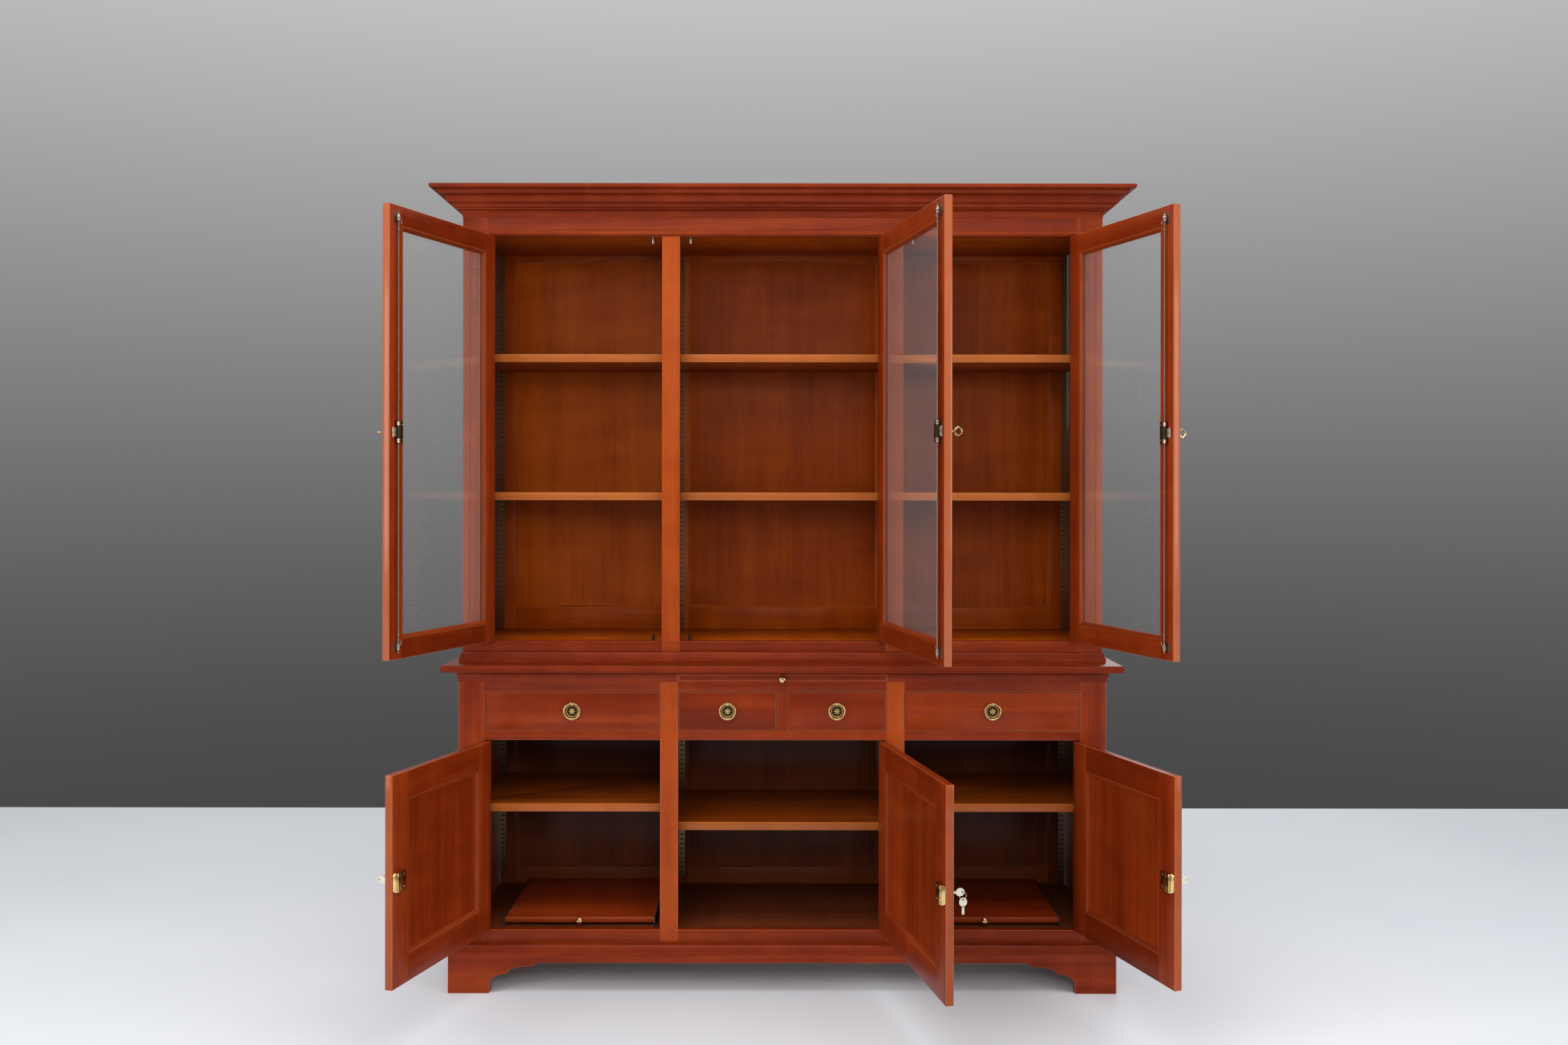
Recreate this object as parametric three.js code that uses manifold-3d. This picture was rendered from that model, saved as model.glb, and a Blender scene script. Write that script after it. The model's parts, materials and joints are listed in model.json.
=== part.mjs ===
// A tall three-bay china cabinet in two cases: glazed doors over a lower case with four drawers,
// three panelled doors, two pull-out trays and a writing slide. Millimetres, +Z up, the front
// faces -Y. The six doors stand open. The origin is on the floor, under the middle of the cabinet
// with its doors open.
import * as THREE from 'three';
import * as BufferGeometryUtils from 'three/addons/utils/BufferGeometryUtils.js';
import Module from 'manifold-3d';

const wasm = await Module();
wasm.setup();

// ---- Driving dimensions: the cases ----
const overallHeight = 1980;
const caseWidth = 1592;
const caseDepth = 425;
const upperSetBack = 43.5;        // the upper case stands this far behind the lower front
const stileWidth = 63.2;        // outer posts of both face frames
const mullionWidth = 44.7;      // posts between the bays
const sideThickness = 19;
const dividerThickness = 16;    // dividers are flush with the side bays' edges of the mullions
const centreBayWidth = 511.4;
const frameThickness = 21;      // both face frames, front to back
const boardThickness = 19;      // floors and decks
const shelfThickness = 19.5;
const backThickness = 10;
const lowerBackRebate = 4;      // the back boards lie this far inside the rear edges
const upperBackRebate = 32;
const touchGap = 0.3;           // between pieces that touch

// ---- Driving dimensions: levels of the lower case, from the floor up ----
const plinthHeight = 93.3;
const plinthProjection = 20.7;
const baseMouldingHeight = 26;
const bottomRailHeight = 29.7;
const lowerDoorOpening = 466.7;
const middleRailHeight = 22.6;
const drawerOpening = 97.1;
const topRailHeight = 23.6;
const slideBandHeight = 25.5;
const waistTopThickness = 17.9;
const waistProjection = 36.3;
const coveProjection = 11.3;
const drawerDividerWidth = 26.2;
const floorDrop = 3;            // a floor lies this far under the edge of its door opening

// ---- Driving dimensions: levels of the upper case ----
const upperBaseHeight = 24.5;
const upperBaseProjection = 7.5;
const upperRailHeight = 27.3;
const friezeHeight = 47.1;
const corniceHeight = 70.7;
const corniceProjection = 68.4;
const astragalHeight = 12.3;
const astragalProjection = 7.5;
const topBoardRise = 8.5;         // the top board lies this far above the door openings

// ---- Driving dimensions: bracket feet ----
const footWidth = 101;
const footToeHeight = 21.7;
const scrollLength = 132;       // from the foot's inner edge to the straight apron
const apronClearance = 74.5;
const footBlock = 66;

// ---- Driving dimensions: doors ----
const doorThickness = 18;
const doorGap = 1.5;
const upperDoorStile = 44.8;
const lowerDoorStile = 61.8;
const glassThickness = 3;
const panelThickness = 7;
const panelTongue = 5;
const fieldMargin = 40;
const upperOpenAngles = [110.0, 102.2, 109.3];    // degrees, left, middle, right
const lowerOpenAngles = [107.0, 102.1, 108.0];

// ---- Driving dimensions: locks ----
const rodRadius = 2.6;
const rodStandOff = 7.5;          // rod centre from the door's inner face
const rodEndInset = 21;         // rod ends stop this far inside the door's height
const rodLockInset = 15;        // rods end this far from the lock's centre
const keyShankRadius = 2.5;
const keyShankLength = 13;
const keyBowRadius = 9;
const keyBowWire = 2.2;
const upperLockInset = 22.6;      // lock centre from the door's free edge
const lowerLockInset = 21;

// ---- Driving dimensions: drawers, slides, trays, shelves ----
const drawerFrontThickness = 19;
const drawerGap = 1;
const drawerSideThickness = 10;
const drawerBottomThickness = 6;
const drawerSideClearance = 5;
const drawerHeadroom = 14.1;      // between a drawer's box and the top of its opening
const drawerBackClearance = 32;
const ringRadius = 19.3;
const ringWire = 2.5;
const ringStandOff = 6.6;
const slideThickness = 15;
const slideClearance = 1.2;
const slideBackClearance = 50;
const slideFrontOverlap = 5;  // the slide's moulded front laps over the frame at each end
const trayThickness = 12.3;
const traySetBack = 40;
const trayHingeClearance = 45.3;  // keeps the tray clear of the door's open edge
const trayInnerClearance = 18;
const trayRise = 6.1;
const trayBackClearance = 32;
const upperShelfSetBack = 36;   // from the upper front plane
const lowerShelfSetBack = 34;
const shelfClearance = 0.7;
const shelfRearClearance = 6;   // room for the slotted strips on the back
const stripNotchDepth = 6;      // the shelf ends clear the slotted strips on the sides
const stripNotchWidth = 19;
const stripInset = 40;          // strip centre lines, from the front edge of the shelves
const lowerSideShelfTop = 451.2;
const lowerCentreShelfTop = 405.4;
const upperShelfFractions = [0.367, 0.712];       // of the upper opening's height

// ---- Levels and planes worked out from the driving dimensions ----
const halfWidth = caseWidth / 2;
const bayOuter = halfWidth - stileWidth;
const bayInner = centreBayWidth / 2;
const sideBayInner = bayInner + mullionWidth;
const innerHalf = halfWidth - sideThickness - touchGap;
const dividerInner = sideBayInner - dividerThickness;

const lowerCaseBottom = plinthHeight + baseMouldingHeight;
const lowerOpeningBottom = lowerCaseBottom + bottomRailHeight;
const lowerOpeningTop = lowerOpeningBottom + lowerDoorOpening;
const drawerBottom = lowerOpeningTop + middleRailHeight;
const drawerTop = drawerBottom + drawerOpening;
const drawerBoxHeight = drawerOpening - drawerHeadroom;
const slideBandBottom = drawerTop + topRailHeight;
const waistBottom = slideBandBottom + slideBandHeight;
const waistTop = waistBottom + waistTopThickness;
const upperCaseBottom = waistTop + upperBaseHeight;
const upperOpeningBottom = upperCaseBottom + upperRailHeight;
const upperCaseTop = overallHeight - corniceHeight;
const upperOpeningTop = upperCaseTop - friezeHeight;
const upperOpeningHeight = upperOpeningTop - upperOpeningBottom;

const lowerBackInner = caseDepth - lowerBackRebate - backThickness;
const upperBackInner = caseDepth - upperBackRebate - backThickness;
const lowerFloorTop = lowerOpeningBottom - floorDrop;
const upperFloorTop = upperOpeningBottom - floorDrop - 1;
const deckTop = drawerBottom - touchGap;
const deckBottom = deckTop - boardThickness;
const lowerInnerFront = frameThickness + touchGap;
const upperInnerFront = upperSetBack + frameThickness + touchGap;
const lowerInnerRear = lowerBackInner - touchGap;
const upperInnerRear = upperBackInner - touchGap;
const slideBottom = slideBandBottom + 3;

const radians = THREE.MathUtils.degToRad;
const centreDoorWidth = centreBayWidth - 2 * doorGap;
const openReach = centreDoorWidth * Math.sin(radians(lowerOpenAngles[1])) + doorThickness * 0.21;
const frontPlane = (openReach - caseDepth) / 2;   // lower front plane, from the origin

// ---- Materials ----
function material(color, roughness, metalness = 0) {
  return new THREE.MeshStandardMaterial({ color, roughness, metalness });
}
const mahogany = material(0x8a3a17, 0.38);
const mahoganyDark = material(0x6f2b10, 0.4);
const interiorWood = material(0xa85c24, 0.45);
const drawerWood = material(0xc29058, 0.6);
const brass = material(0xc59a4a, 0.3, 1);
const nickel = material(0xb9b4a6, 0.28, 1);
const glass = new THREE.MeshStandardMaterial({
  color: 0xdfe9e4, roughness: 0.04, metalness: 0, transparent: true, opacity: 0.3,
});

// ---- Shape helpers ----
function board(x0, x1, y0, y1, z0, z1) {
  const geometry = new THREE.BoxGeometry(x1 - x0, y1 - y0, z1 - z0);
  return geometry.translate((x0 + x1) / 2, (y0 + y1) / 2, (z0 + z1) / 2);
}

function toSolid(geometry) {
  const bare = geometry.index ? geometry.toNonIndexed() : geometry.clone();
  bare.deleteAttribute('normal');
  bare.deleteAttribute('uv');
  const merged = BufferGeometryUtils.mergeVertices(bare, 1e-4);
  return new wasm.Manifold(new wasm.Mesh({
    numProp: 3,
    vertProperties: new Float32Array(merged.attributes.position.array),
    triVerts: new Uint32Array(merged.index.array),
  }));
}

function toGeometry(solid) {
  const mesh = solid.getMesh();
  const geometry = new THREE.BufferGeometry();
  geometry.setAttribute('position', new THREE.BufferAttribute(mesh.vertProperties, 3));
  geometry.setIndex(new THREE.BufferAttribute(mesh.triVerts, 1));
  geometry.computeVertexNormals();
  return geometry;
}

function join(...geometries) {
  return toGeometry(geometries.map(toSolid).reduce((whole, next) => whole.add(next)));
}

function cut(geometry, ...cutters) {
  return toGeometry(cutters.map(toSolid).reduce((rest, next) => rest.subtract(next), toSolid(geometry)));
}

function shapeOf(points) {
  return new THREE.Shape(points.map(([a, b]) => new THREE.Vector2(a, b)));
}

// An outline in X and Z carried from y0 to y1.
function acrossDepth(outline, y0, y1) {
  const geometry = new THREE.ExtrudeGeometry(shapeOf(outline), { depth: y1 - y0, bevelEnabled: false });
  return geometry.rotateX(Math.PI / 2).translate(0, y1, 0);
}

// An outline in Y and Z carried from x0 to x1.
function lengthways(outline, x0, x1) {
  const geometry = new THREE.ExtrudeGeometry(shapeOf(outline), { depth: x1 - x0, bevelEnabled: false });
  return geometry.rotateY(Math.PI / 2).rotateX(Math.PI / 2).translate(x0, 0, 0);
}

// A flat plate with openings; the outline and each opening are [x0, x1, z0, z1].
function plate([x0, x1, z0, z1], openings, y0, y1) {
  const cutters = openings.map(([a0, a1, b0, b1]) => board(a0, a1, y0 - 1, y1 + 1, b0, b1));
  return cut(board(x0, x1, y0, y1, z0, z1), ...cutters);
}

// A moulding with mitred corners round the front and both ends of a case. The profile's points are
// [projection from the case, height]; it runs anticlockwise with the projection to the right.
function mitredRun(profile, half, front, back) {
  const stations = [
    (p) => [-half - p, back], (p) => [-half - p, front - p],
    (p) => [half + p, front - p], (p) => [half + p, back],
  ];
  const count = profile.length;
  const positions = [];
  stations.forEach((place) => profile.forEach(([p, z]) => positions.push(...place(p), z)));
  const faces = [];
  for (let s = 0; s < stations.length - 1; s += 1) {
    for (let i = 0; i < count; i += 1) {
      const a = s * count + i;
      const b = s * count + (i + 1) % count;
      faces.push(a, a + count, b, b, a + count, b + count);
    }
  }
  const caps = THREE.ShapeUtils.triangulateShape(profile.map(([p, z]) => new THREE.Vector2(p, z)), []);
  const last = (stations.length - 1) * count;
  caps.forEach(([i, j, k]) => faces.push(i, j, k, last + i, last + k, last + j));
  const geometry = new THREE.BufferGeometry();
  geometry.setAttribute('position', new THREE.Float32BufferAttribute(positions, 3));
  geometry.setIndex(faces);
  geometry.computeVertexNormals();
  return geometry;
}

// Points on a quarter ellipse between two corners; hollow curves sag towards (a1, b0).
function quarter(a0, b0, a1, b1, hollow, steps = 4) {
  return Array.from({ length: steps + 1 }, (_, i) => {
    const t = (i / steps) * Math.PI / 2;
    return hollow
      ? [a0 + (a1 - a0) * (1 - Math.cos(t)), b0 + (b1 - b0) * Math.sin(t)]
      : [a0 + (a1 - a0) * Math.sin(t), b0 + (b1 - b0) * (1 - Math.cos(t))];
  });
}

function mirrored(geometry) {
  const flipped = geometry.index ? geometry.toNonIndexed() : geometry.clone();
  flipped.scale(-1, 1, 1);
  const position = flipped.attributes.position;
  for (let i = 0; i < position.count; i += 3) {
    const second = [position.getX(i + 1), position.getY(i + 1), position.getZ(i + 1)];
    position.setXYZ(i + 1, position.getX(i + 2), position.getY(i + 2), position.getZ(i + 2));
    position.setXYZ(i + 2, ...second);
  }
  flipped.deleteAttribute('normal');
  flipped.computeVertexNormals();
  return flipped;
}

const cabinet = new THREE.Group();
cabinet.position.y = frontPlane;

function place(name, geometry, look, parent = cabinet) {
  const mesh = new THREE.Mesh(geometry, look);
  mesh.name = name;
  parent.add(mesh);
  return mesh;
}

const sides = [['left', -1], ['right', 1]];

// ---- Plinth: bracket feet, base moulding, corner blocks and back rail ----
// Half of a bracket foot's lower edge, from the outer corner inwards: toe, cusp, then the apron.
function footEdge() {
  const apron = apronClearance;
  const cusp = footWidth + scrollLength * 0.33;
  return [
    [0, 0], [footWidth, 0], [footWidth, footToeHeight],
    [footWidth + scrollLength * 0.05, apron * 0.45], [footWidth + scrollLength * 0.16, apron * 0.58],
    [cusp, apron * 0.65], [cusp + scrollLength * 0.05, apron * 0.75],
    [cusp + scrollLength * 0.25, apron * 0.84], [footWidth + scrollLength * 0.84, apron * 0.88],
    [footWidth + scrollLength * 0.93, apron * 0.96], [footWidth + scrollLength, apron],
  ];
}

function bracketBoard(from, to) {
  const edge = footEdge();
  const left = edge.map(([a, z]) => [from + a, z]);
  const right = edge.map(([a, z]) => [to - a, z]).reverse();
  return [...left, ...right, [to, plinthHeight + 1], [from, plinthHeight + 1]];
}

function plinth() {
  const outer = halfWidth + plinthProjection;
  const front = -plinthProjection;
  const frontBoard = acrossDepth(bracketBoard(-outer, outer), front, front + frameThickness);
  const returnBoard = lengthways(bracketBoard(front, caseDepth), outer - frameThickness, outer);
  const moulding = mitredRun([
    [-stileWidth, plinthHeight], [plinthProjection, plinthHeight],
    [plinthProjection, plinthHeight + baseMouldingHeight * 0.3],
    ...quarter(plinthProjection * 0.85, plinthHeight + baseMouldingHeight * 0.36,
      plinthProjection * 0.1, lowerCaseBottom, true, 3),
    [-stileWidth, lowerCaseBottom],
  ], halfWidth, 0, caseDepth);
  const inner = outer - frameThickness + 1;
  const blocks = sides.flatMap(([, s]) => [
    [front + frameThickness - 1, front + frameThickness - 1 + footBlock],
    [caseDepth - footBlock, caseDepth - 0.5],
  ].map(([y0, y1]) => board(...[s * inner, s * (inner - footBlock)].sort((a, b) => a - b),
    y0, y1, 0, plinthHeight + 1)));
  const backRail = board(-inner, inner, caseDepth - frameThickness, caseDepth - 1,
    apronClearance, plinthHeight + 1);
  return join(frontBoard, returnBoard, mirrored(returnBoard), moulding, ...blocks, backRail);
}
place('plinth', plinth(), mahogany);

// ---- Lower case ----
const doorBays = [
  { name: 'left', x0: -bayOuter, x1: -sideBayInner },
  { name: 'middle', x0: -bayInner, x1: bayInner },
  { name: 'right', x0: sideBayInner, x1: bayOuter },
];
const drawerBays = [
  { name: 'left', x0: -bayOuter, x1: -sideBayInner },
  { name: 'centre_left', x0: -bayInner, x1: -drawerDividerWidth / 2 },
  { name: 'centre_right', x0: drawerDividerWidth / 2, x1: bayInner },
  { name: 'right', x0: sideBayInner, x1: bayOuter },
];

place('lower_face_frame', plate(
  [-halfWidth, halfWidth, lowerCaseBottom + touchGap, waistBottom - touchGap], [
    ...doorBays.map(({ x0, x1 }) => [x0, x1, lowerOpeningBottom, lowerOpeningTop]),
    ...drawerBays.map(({ x0, x1 }) => [x0, x1, drawerBottom, drawerTop]),
    [-bayInner, bayInner, slideBottom - slideClearance, slideBottom + slideThickness + slideClearance],
  ], 0, frameThickness), mahogany);

// A board from x0 to x1 on the left of the middle, or its mirror image on the right.
function sideBoard(s, x0, x1, ...rest) {
  return s < 0 ? board(x0, x1, ...rest) : board(-x1, -x0, ...rest);
}
sides.forEach(([side, s]) => {
  place(`lower_side_${side}`, sideBoard(s, -halfWidth, -halfWidth + sideThickness, lowerInnerFront,
    caseDepth, lowerCaseBottom + touchGap, waistBottom - touchGap), mahogany);
  place(`lower_divider_${side}`, sideBoard(s, -sideBayInner, -dividerInner, lowerInnerFront,
    lowerInnerRear, lowerFloorTop + touchGap, deckBottom - touchGap), interiorWood);
});
place('lower_floor', board(-innerHalf, innerHalf, lowerInnerFront, lowerInnerRear,
  lowerFloorTop - boardThickness, lowerFloorTop), interiorWood);
place('lower_back', board(-innerHalf, innerHalf, lowerBackInner, lowerBackInner + backThickness,
  lowerCaseBottom + touchGap, waistBottom - touchGap), interiorWood);

// The deck under the drawers carries the guides between them. The outer guides fill the space
// between the sides and the edges of the drawer openings.
function drawerDeck() {
  const guide = (x0, x1, top) => board(x0, x1, lowerInnerFront, lowerInnerRear, deckTop - 1, top);
  const high = waistBottom - touchGap;
  return join(
    board(-innerHalf, innerHalf, lowerInnerFront, lowerInnerRear, deckBottom, deckTop),
    guide(-innerHalf, -bayOuter, high), guide(-sideBayInner, -bayInner, high),
    guide(-drawerDividerWidth / 2, drawerDividerWidth / 2, slideBottom - touchGap),
    guide(bayInner, sideBayInner, high), guide(bayOuter, innerHalf, high),
  );
}
place('drawer_deck', drawerDeck(), interiorWood);

// The waist top has a rounded edge. The cove under it stops where the writing slide's front begins.
const coveProfile = [
  [touchGap, slideBandBottom], [coveProjection * 0.12, slideBandBottom],
  ...quarter(coveProjection * 0.12, slideBandBottom + 1.5, coveProjection * 0.85, waistBottom - 4.5, true, 4),
  [coveProjection, waistBottom - 3.5],
];
const slideFrontHalf = bayInner + slideFrontOverlap;
function waistTopSolid() {
  const edge = mitredRun([
    [-stileWidth * 1.5, waistBottom], [waistProjection - 4, waistBottom],
    [waistProjection, waistBottom + 4], [waistProjection, waistTop - 5],
    [waistProjection - 3, waistTop], [-stileWidth * 1.5, waistTop],
  ], halfWidth, 0, caseDepth);
  const cove = cut(mitredRun([...coveProfile, [coveProjection, waistBottom + 1], [touchGap, waistBottom + 1]],
    halfWidth, 0, caseDepth),
  board(-slideFrontHalf - 1, slideFrontHalf + 1, -2 * waistProjection, 0, slideBandBottom - 1, waistBottom));
  const middle = board(-halfWidth + stileWidth, halfWidth - stileWidth, stileWidth, caseDepth,
    waistBottom, waistTop);
  return join(edge, middle, cove);
}
place('waist_top', waistTopSolid(), mahogany);

// A shelf fills its bay between the boards and has a notch round the slotted strip at each end.
const shelfBays = {
  left: [-halfWidth + sideThickness, -sideBayInner],
  middle: [-dividerInner, dividerInner],
  right: [sideBayInner, halfWidth - sideThickness],
};
function shelf(bay, y0, y1, top) {
  const left = shelfBays[bay][0] + shelfClearance;
  const right = shelfBays[bay][1] - shelfClearance;
  const a = y0 + stripInset - stripNotchWidth / 2;
  const b = a + stripNotchWidth;
  const outline = [
    [left, y0], [right, y0],
    [right, a], [right - stripNotchDepth, a], [right - stripNotchDepth, b], [right, b],
    [right, y1], [left, y1],
    [left, b], [left + stripNotchDepth, b], [left + stripNotchDepth, a], [left, a],
  ];
  const geometry = new THREE.ExtrudeGeometry(shapeOf(outline), { depth: shelfThickness, bevelEnabled: false });
  return geometry.translate(0, 0, top - shelfThickness);
}
doorBays.forEach(({ name }) => {
  const top = name === 'middle' ? lowerCentreShelfTop : lowerSideShelfTop;
  place(`lower_shelf_${name}`, shelf(name, lowerShelfSetBack, lowerBackInner - shelfRearClearance, top),
    interiorWood);
});

// ---- Drawers with their ring pulls ----
function drawer(x0, x1) {
  const left = x0 + drawerSideClearance;
  const right = x1 - drawerSideClearance;
  const bottom = drawerBottom + touchGap;
  const back = lowerInnerRear - drawerBackClearance;
  const box = join(
    board(x0 + drawerGap, x1 - drawerGap, 0, drawerFrontThickness, drawerBottom + drawerGap,
      drawerTop - drawerGap),
    board(left, right, drawerFrontThickness - 1, back, bottom, bottom + drawerBoxHeight),
  );
  return cut(box, board(left + drawerSideThickness, right - drawerSideThickness, drawerFrontThickness,
    back - drawerSideThickness, bottom + drawerBottomThickness, drawerTop + drawerOpening));
}
drawerBays.forEach(({ name, x0, x1 }) => {
  place(`drawer_${name}`, drawer(x0, x1), mahogany);
  const ring = new THREE.TorusGeometry(ringRadius, ringWire, 6, 20).rotateX(Math.PI / 2);
  place(`ring_pull_${name}`, ring, brass).position.set((x0 + x1) / 2, -ringStandOff,
    (drawerBottom + drawerTop) / 2);
});

// ---- Writing slide and pull-out trays ----
const slideFront = lengthways([
  ...coveProfile.map(([p, z]) => [-p, z + 0.5]).reverse(),
].concat([[-touchGap, waistBottom - 3]]), -slideFrontHalf, slideFrontHalf);
place('writing_slide', join(
  slideFront,
  board(-bayInner + slideClearance, bayInner - slideClearance, -coveProjection * 0.3,
    lowerInnerRear - slideBackClearance, slideBottom, slideBottom + slideThickness),
), mahogany);
const trayBottom = lowerOpeningBottom + trayRise;
sides.forEach(([side, s]) => {
  const x = [s * (bayOuter - trayHingeClearance), s * (sideBayInner + trayInnerClearance)];
  place(`pull_out_tray_${side}`, board(Math.min(...x), Math.max(...x), traySetBack,
    lowerInnerRear - trayBackClearance, trayBottom, trayBottom + trayThickness), mahogany);
});

// ---- Upper case ----
function upperFloorSolid() {
  const p = upperBaseProjection;
  const moulding = mitredRun([
    [-stileWidth - 6, waistTop + touchGap], [p, waistTop + touchGap],
    [p, waistTop + upperBaseHeight * 0.5], [p * 0.6, waistTop + upperBaseHeight * 0.55],
    ...quarter(p * 0.6, waistTop + upperBaseHeight * 0.6, 0, upperCaseBottom, true, 3),
    [-stileWidth - 6, upperCaseBottom],
  ], halfWidth, upperSetBack, caseDepth);
  return join(moulding, board(-innerHalf, innerHalf, upperInnerFront, upperInnerRear,
    upperCaseBottom - 1, upperFloorTop));
}
place('upper_floor', upperFloorSolid(), interiorWood);
const topBoardBottom = upperOpeningTop + topBoardRise;
place('upper_top', board(-innerHalf, innerHalf, upperInnerFront, upperInnerRear,
  topBoardBottom, topBoardBottom + boardThickness), interiorWood);
place('upper_back', board(-innerHalf, innerHalf, upperBackInner, upperBackInner + backThickness,
  upperCaseBottom + touchGap, upperCaseTop - touchGap), interiorWood);
sides.forEach(([side, s]) => {
  place(`upper_side_${side}`, sideBoard(s, -halfWidth, -halfWidth + sideThickness, upperInnerFront,
    caseDepth, upperCaseBottom + touchGap, upperCaseTop - touchGap), mahogany);
  place(`upper_divider_${side}`, sideBoard(s, -sideBayInner, -dividerInner, upperInnerFront,
    upperInnerRear, upperFloorTop + touchGap, topBoardBottom - touchGap), interiorWood);
});

function upperFaceFrame() {
  const front = plate(
    [-halfWidth, halfWidth, upperCaseBottom + touchGap, upperCaseTop - touchGap],
    doorBays.map(({ x0, x1 }) => [x0, x1, upperOpeningBottom, upperOpeningTop]),
    upperSetBack, upperSetBack + frameThickness);
  const low = upperOpeningTop + 1.5;
  const high = low + astragalHeight;
  const middle = (low + high) / 2;
  const astragal = mitredRun([
    [touchGap, low], [astragalProjection * 0.5, low], [astragalProjection, middle - 3],
    [astragalProjection, middle + 3], [astragalProjection * 0.5, high], [touchGap, high],
  ], halfWidth, upperSetBack, caseDepth);
  const bond = board(-halfWidth + 1, halfWidth - 1, upperSetBack - 2, upperSetBack + 1, low + 3, high - 3);
  return join(front, astragal, bond);
}
place('upper_face_frame', upperFaceFrame(), mahogany);

function cornice() {
  const z = (share) => upperCaseTop + corniceHeight * share;
  const p = (share) => corniceProjection * share;
  const inner = -stileWidth;
  const moulding = mitredRun([
    [inner, upperCaseTop], [1, upperCaseTop],
    ...quarter(1, upperCaseTop, p(0.2), z(0.26), true, 3), [p(0.36), z(0.4)],
    [p(0.5), z(0.46)], [p(0.52), z(0.65)],
    ...quarter(p(0.52), z(0.65), p(0.78), z(0.83), false, 3), [p(0.96), z(0.85)],
    [p(1), z(0.93)], [p(1), z(1)], [inner, z(1)],
  ], halfWidth, upperSetBack, caseDepth);
  const dustBoard = board(-halfWidth + stileWidth - 2, halfWidth - stileWidth + 2,
    upperSetBack + stileWidth - 2, caseDepth, upperCaseTop + 2, upperCaseTop + 2 + boardThickness);
  return join(moulding, dustBoard);
}
place('cornice', cornice(), mahogany);

upperShelfFractions.forEach((fraction, row) => {
  doorBays.forEach(({ name }) => {
    const top = upperOpeningBottom + upperOpeningHeight * fraction;
    place(`upper_shelf_${row === 0 ? 'low' : 'high'}_${name}`, shelf(name,
      upperSetBack + upperShelfSetBack, upperBackInner - shelfRearClearance, top), interiorWood);
  });
});

// ---- Keys: a plain shank and an open bow, standing out of the door's outer face ----
function keyGeometry() {
  const shank = new THREE.CylinderGeometry(keyShankRadius, keyShankRadius, keyShankLength, 10)
    .translate(0, -keyShankLength / 2 - touchGap, 0);
  const bow = new THREE.TorusGeometry(keyBowRadius, keyBowWire, 6, 14).rotateY(Math.PI / 2)
    .translate(0, -keyShankLength - keyBowRadius, 0);
  return join(shank, bow);
}

// ---- Doors: each is built closed, in a group that stands at its hinge corner ----
// The left door hangs on the left post; the middle and right doors hang on the post to their right.
function doorGroup(bay, openAngle, front, bottom) {
  const group = new THREE.Group();
  const s = bay.name === 'left' ? 1 : -1;
  group.position.set(s > 0 ? bay.x0 + doorGap : bay.x1 - doorGap, front, bottom);
  group.rotation.z = -s * radians(openAngle);
  cabinet.add(group);
  return { group, s, width: bay.x1 - bay.x0 - 2 * doorGap };
}

function span(s, from, to) {
  return s > 0 ? [from, to] : [-to, -from];
}

function glazedDoor(bay, openAngle) {
  const height = upperOpeningHeight - 2 * doorGap;
  const { group, s, width } = doorGroup(bay, openAngle, upperSetBack, upperOpeningBottom + doorGap);
  const sight = [...span(s, upperDoorStile, width - upperDoorStile), upperDoorStile, height - upperDoorStile];
  place(`upper_door_${bay.name}`, plate([...span(s, 0, width), 0, height], [sight], 0, doorThickness),
    mahogany, group);
  const g = touchGap;
  const glassFront = (doorThickness - glassThickness) / 2;
  place(`glass_${bay.name}`, board(sight[0] + g, sight[1] - g, glassFront, glassFront + glassThickness,
    sight[2] + g, sight[3] - g), glass, group);
  const lockX = s * (width - upperLockInset);
  const lockZ = height / 2;
  [['lower', rodEndInset, lockZ - rodLockInset], ['upper', lockZ + rodLockInset, height - rodEndInset]]
    .forEach(([end, z0, z1]) => {
      const rod = new THREE.CylinderGeometry(rodRadius, rodRadius, z1 - z0, 10).rotateX(Math.PI / 2);
      place(`rod_${end}_${bay.name}`, rod, nickel, group)
        .position.set(lockX, doorThickness + rodStandOff, (z0 + z1) / 2);
    });
  place(`upper_key_${bay.name}`, keyGeometry(), brass, group).position.set(lockX, 0, lockZ);
}

function panelDoor(bay, openAngle) {
  const height = lowerDoorOpening - 2 * doorGap;
  const { group, s, width } = doorGroup(bay, openAngle, 0, lowerOpeningBottom + doorGap);
  const open = [...span(s, lowerDoorStile, width - lowerDoorStile), lowerDoorStile, height - lowerDoorStile];
  const frame = plate([...span(s, 0, width), 0, height], [open], 0, doorThickness);
  const panelFront = (doorThickness - panelThickness) / 2;
  const panel = board(open[0] - panelTongue, open[1] + panelTongue, panelFront, panelFront + panelThickness,
    open[2] - panelTongue, open[3] + panelTongue);
  const field = board(open[0] + fieldMargin, open[1] - fieldMargin, panelFront - 3, panelFront + 1,
    open[2] + fieldMargin, open[3] - fieldMargin);
  place(`lower_door_${bay.name}`, join(frame, panel, field), mahogany, group);
  place(`lower_key_${bay.name}`, keyGeometry(), nickel, group)
    .position.set(s * (width - lowerLockInset), 0, height / 2);
}
doorBays.forEach((bay, i) => {
  glazedDoor(bay, upperOpenAngles[i]);
  panelDoor(bay, lowerOpenAngles[i]);
});

export default cabinet;
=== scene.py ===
# %% [markdown]
# # A china cabinet, finished board by board
# The measured model of this cabinet comes from CAD: every board, door, drawer and shelf is already
# the right size and hangs on the right hinge or slide. What is left for us is what a cabinet maker
# would call the finish: softened edges, fine mouldings, grain that runs the right way in every
# board, brass that has aged, and the small hardware nobody notices until it is missing.

# %% Load the measured model
import json
import math
import random

import bmesh
import bpy
import numpy as np
from mathutils import Matrix, Vector


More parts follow.
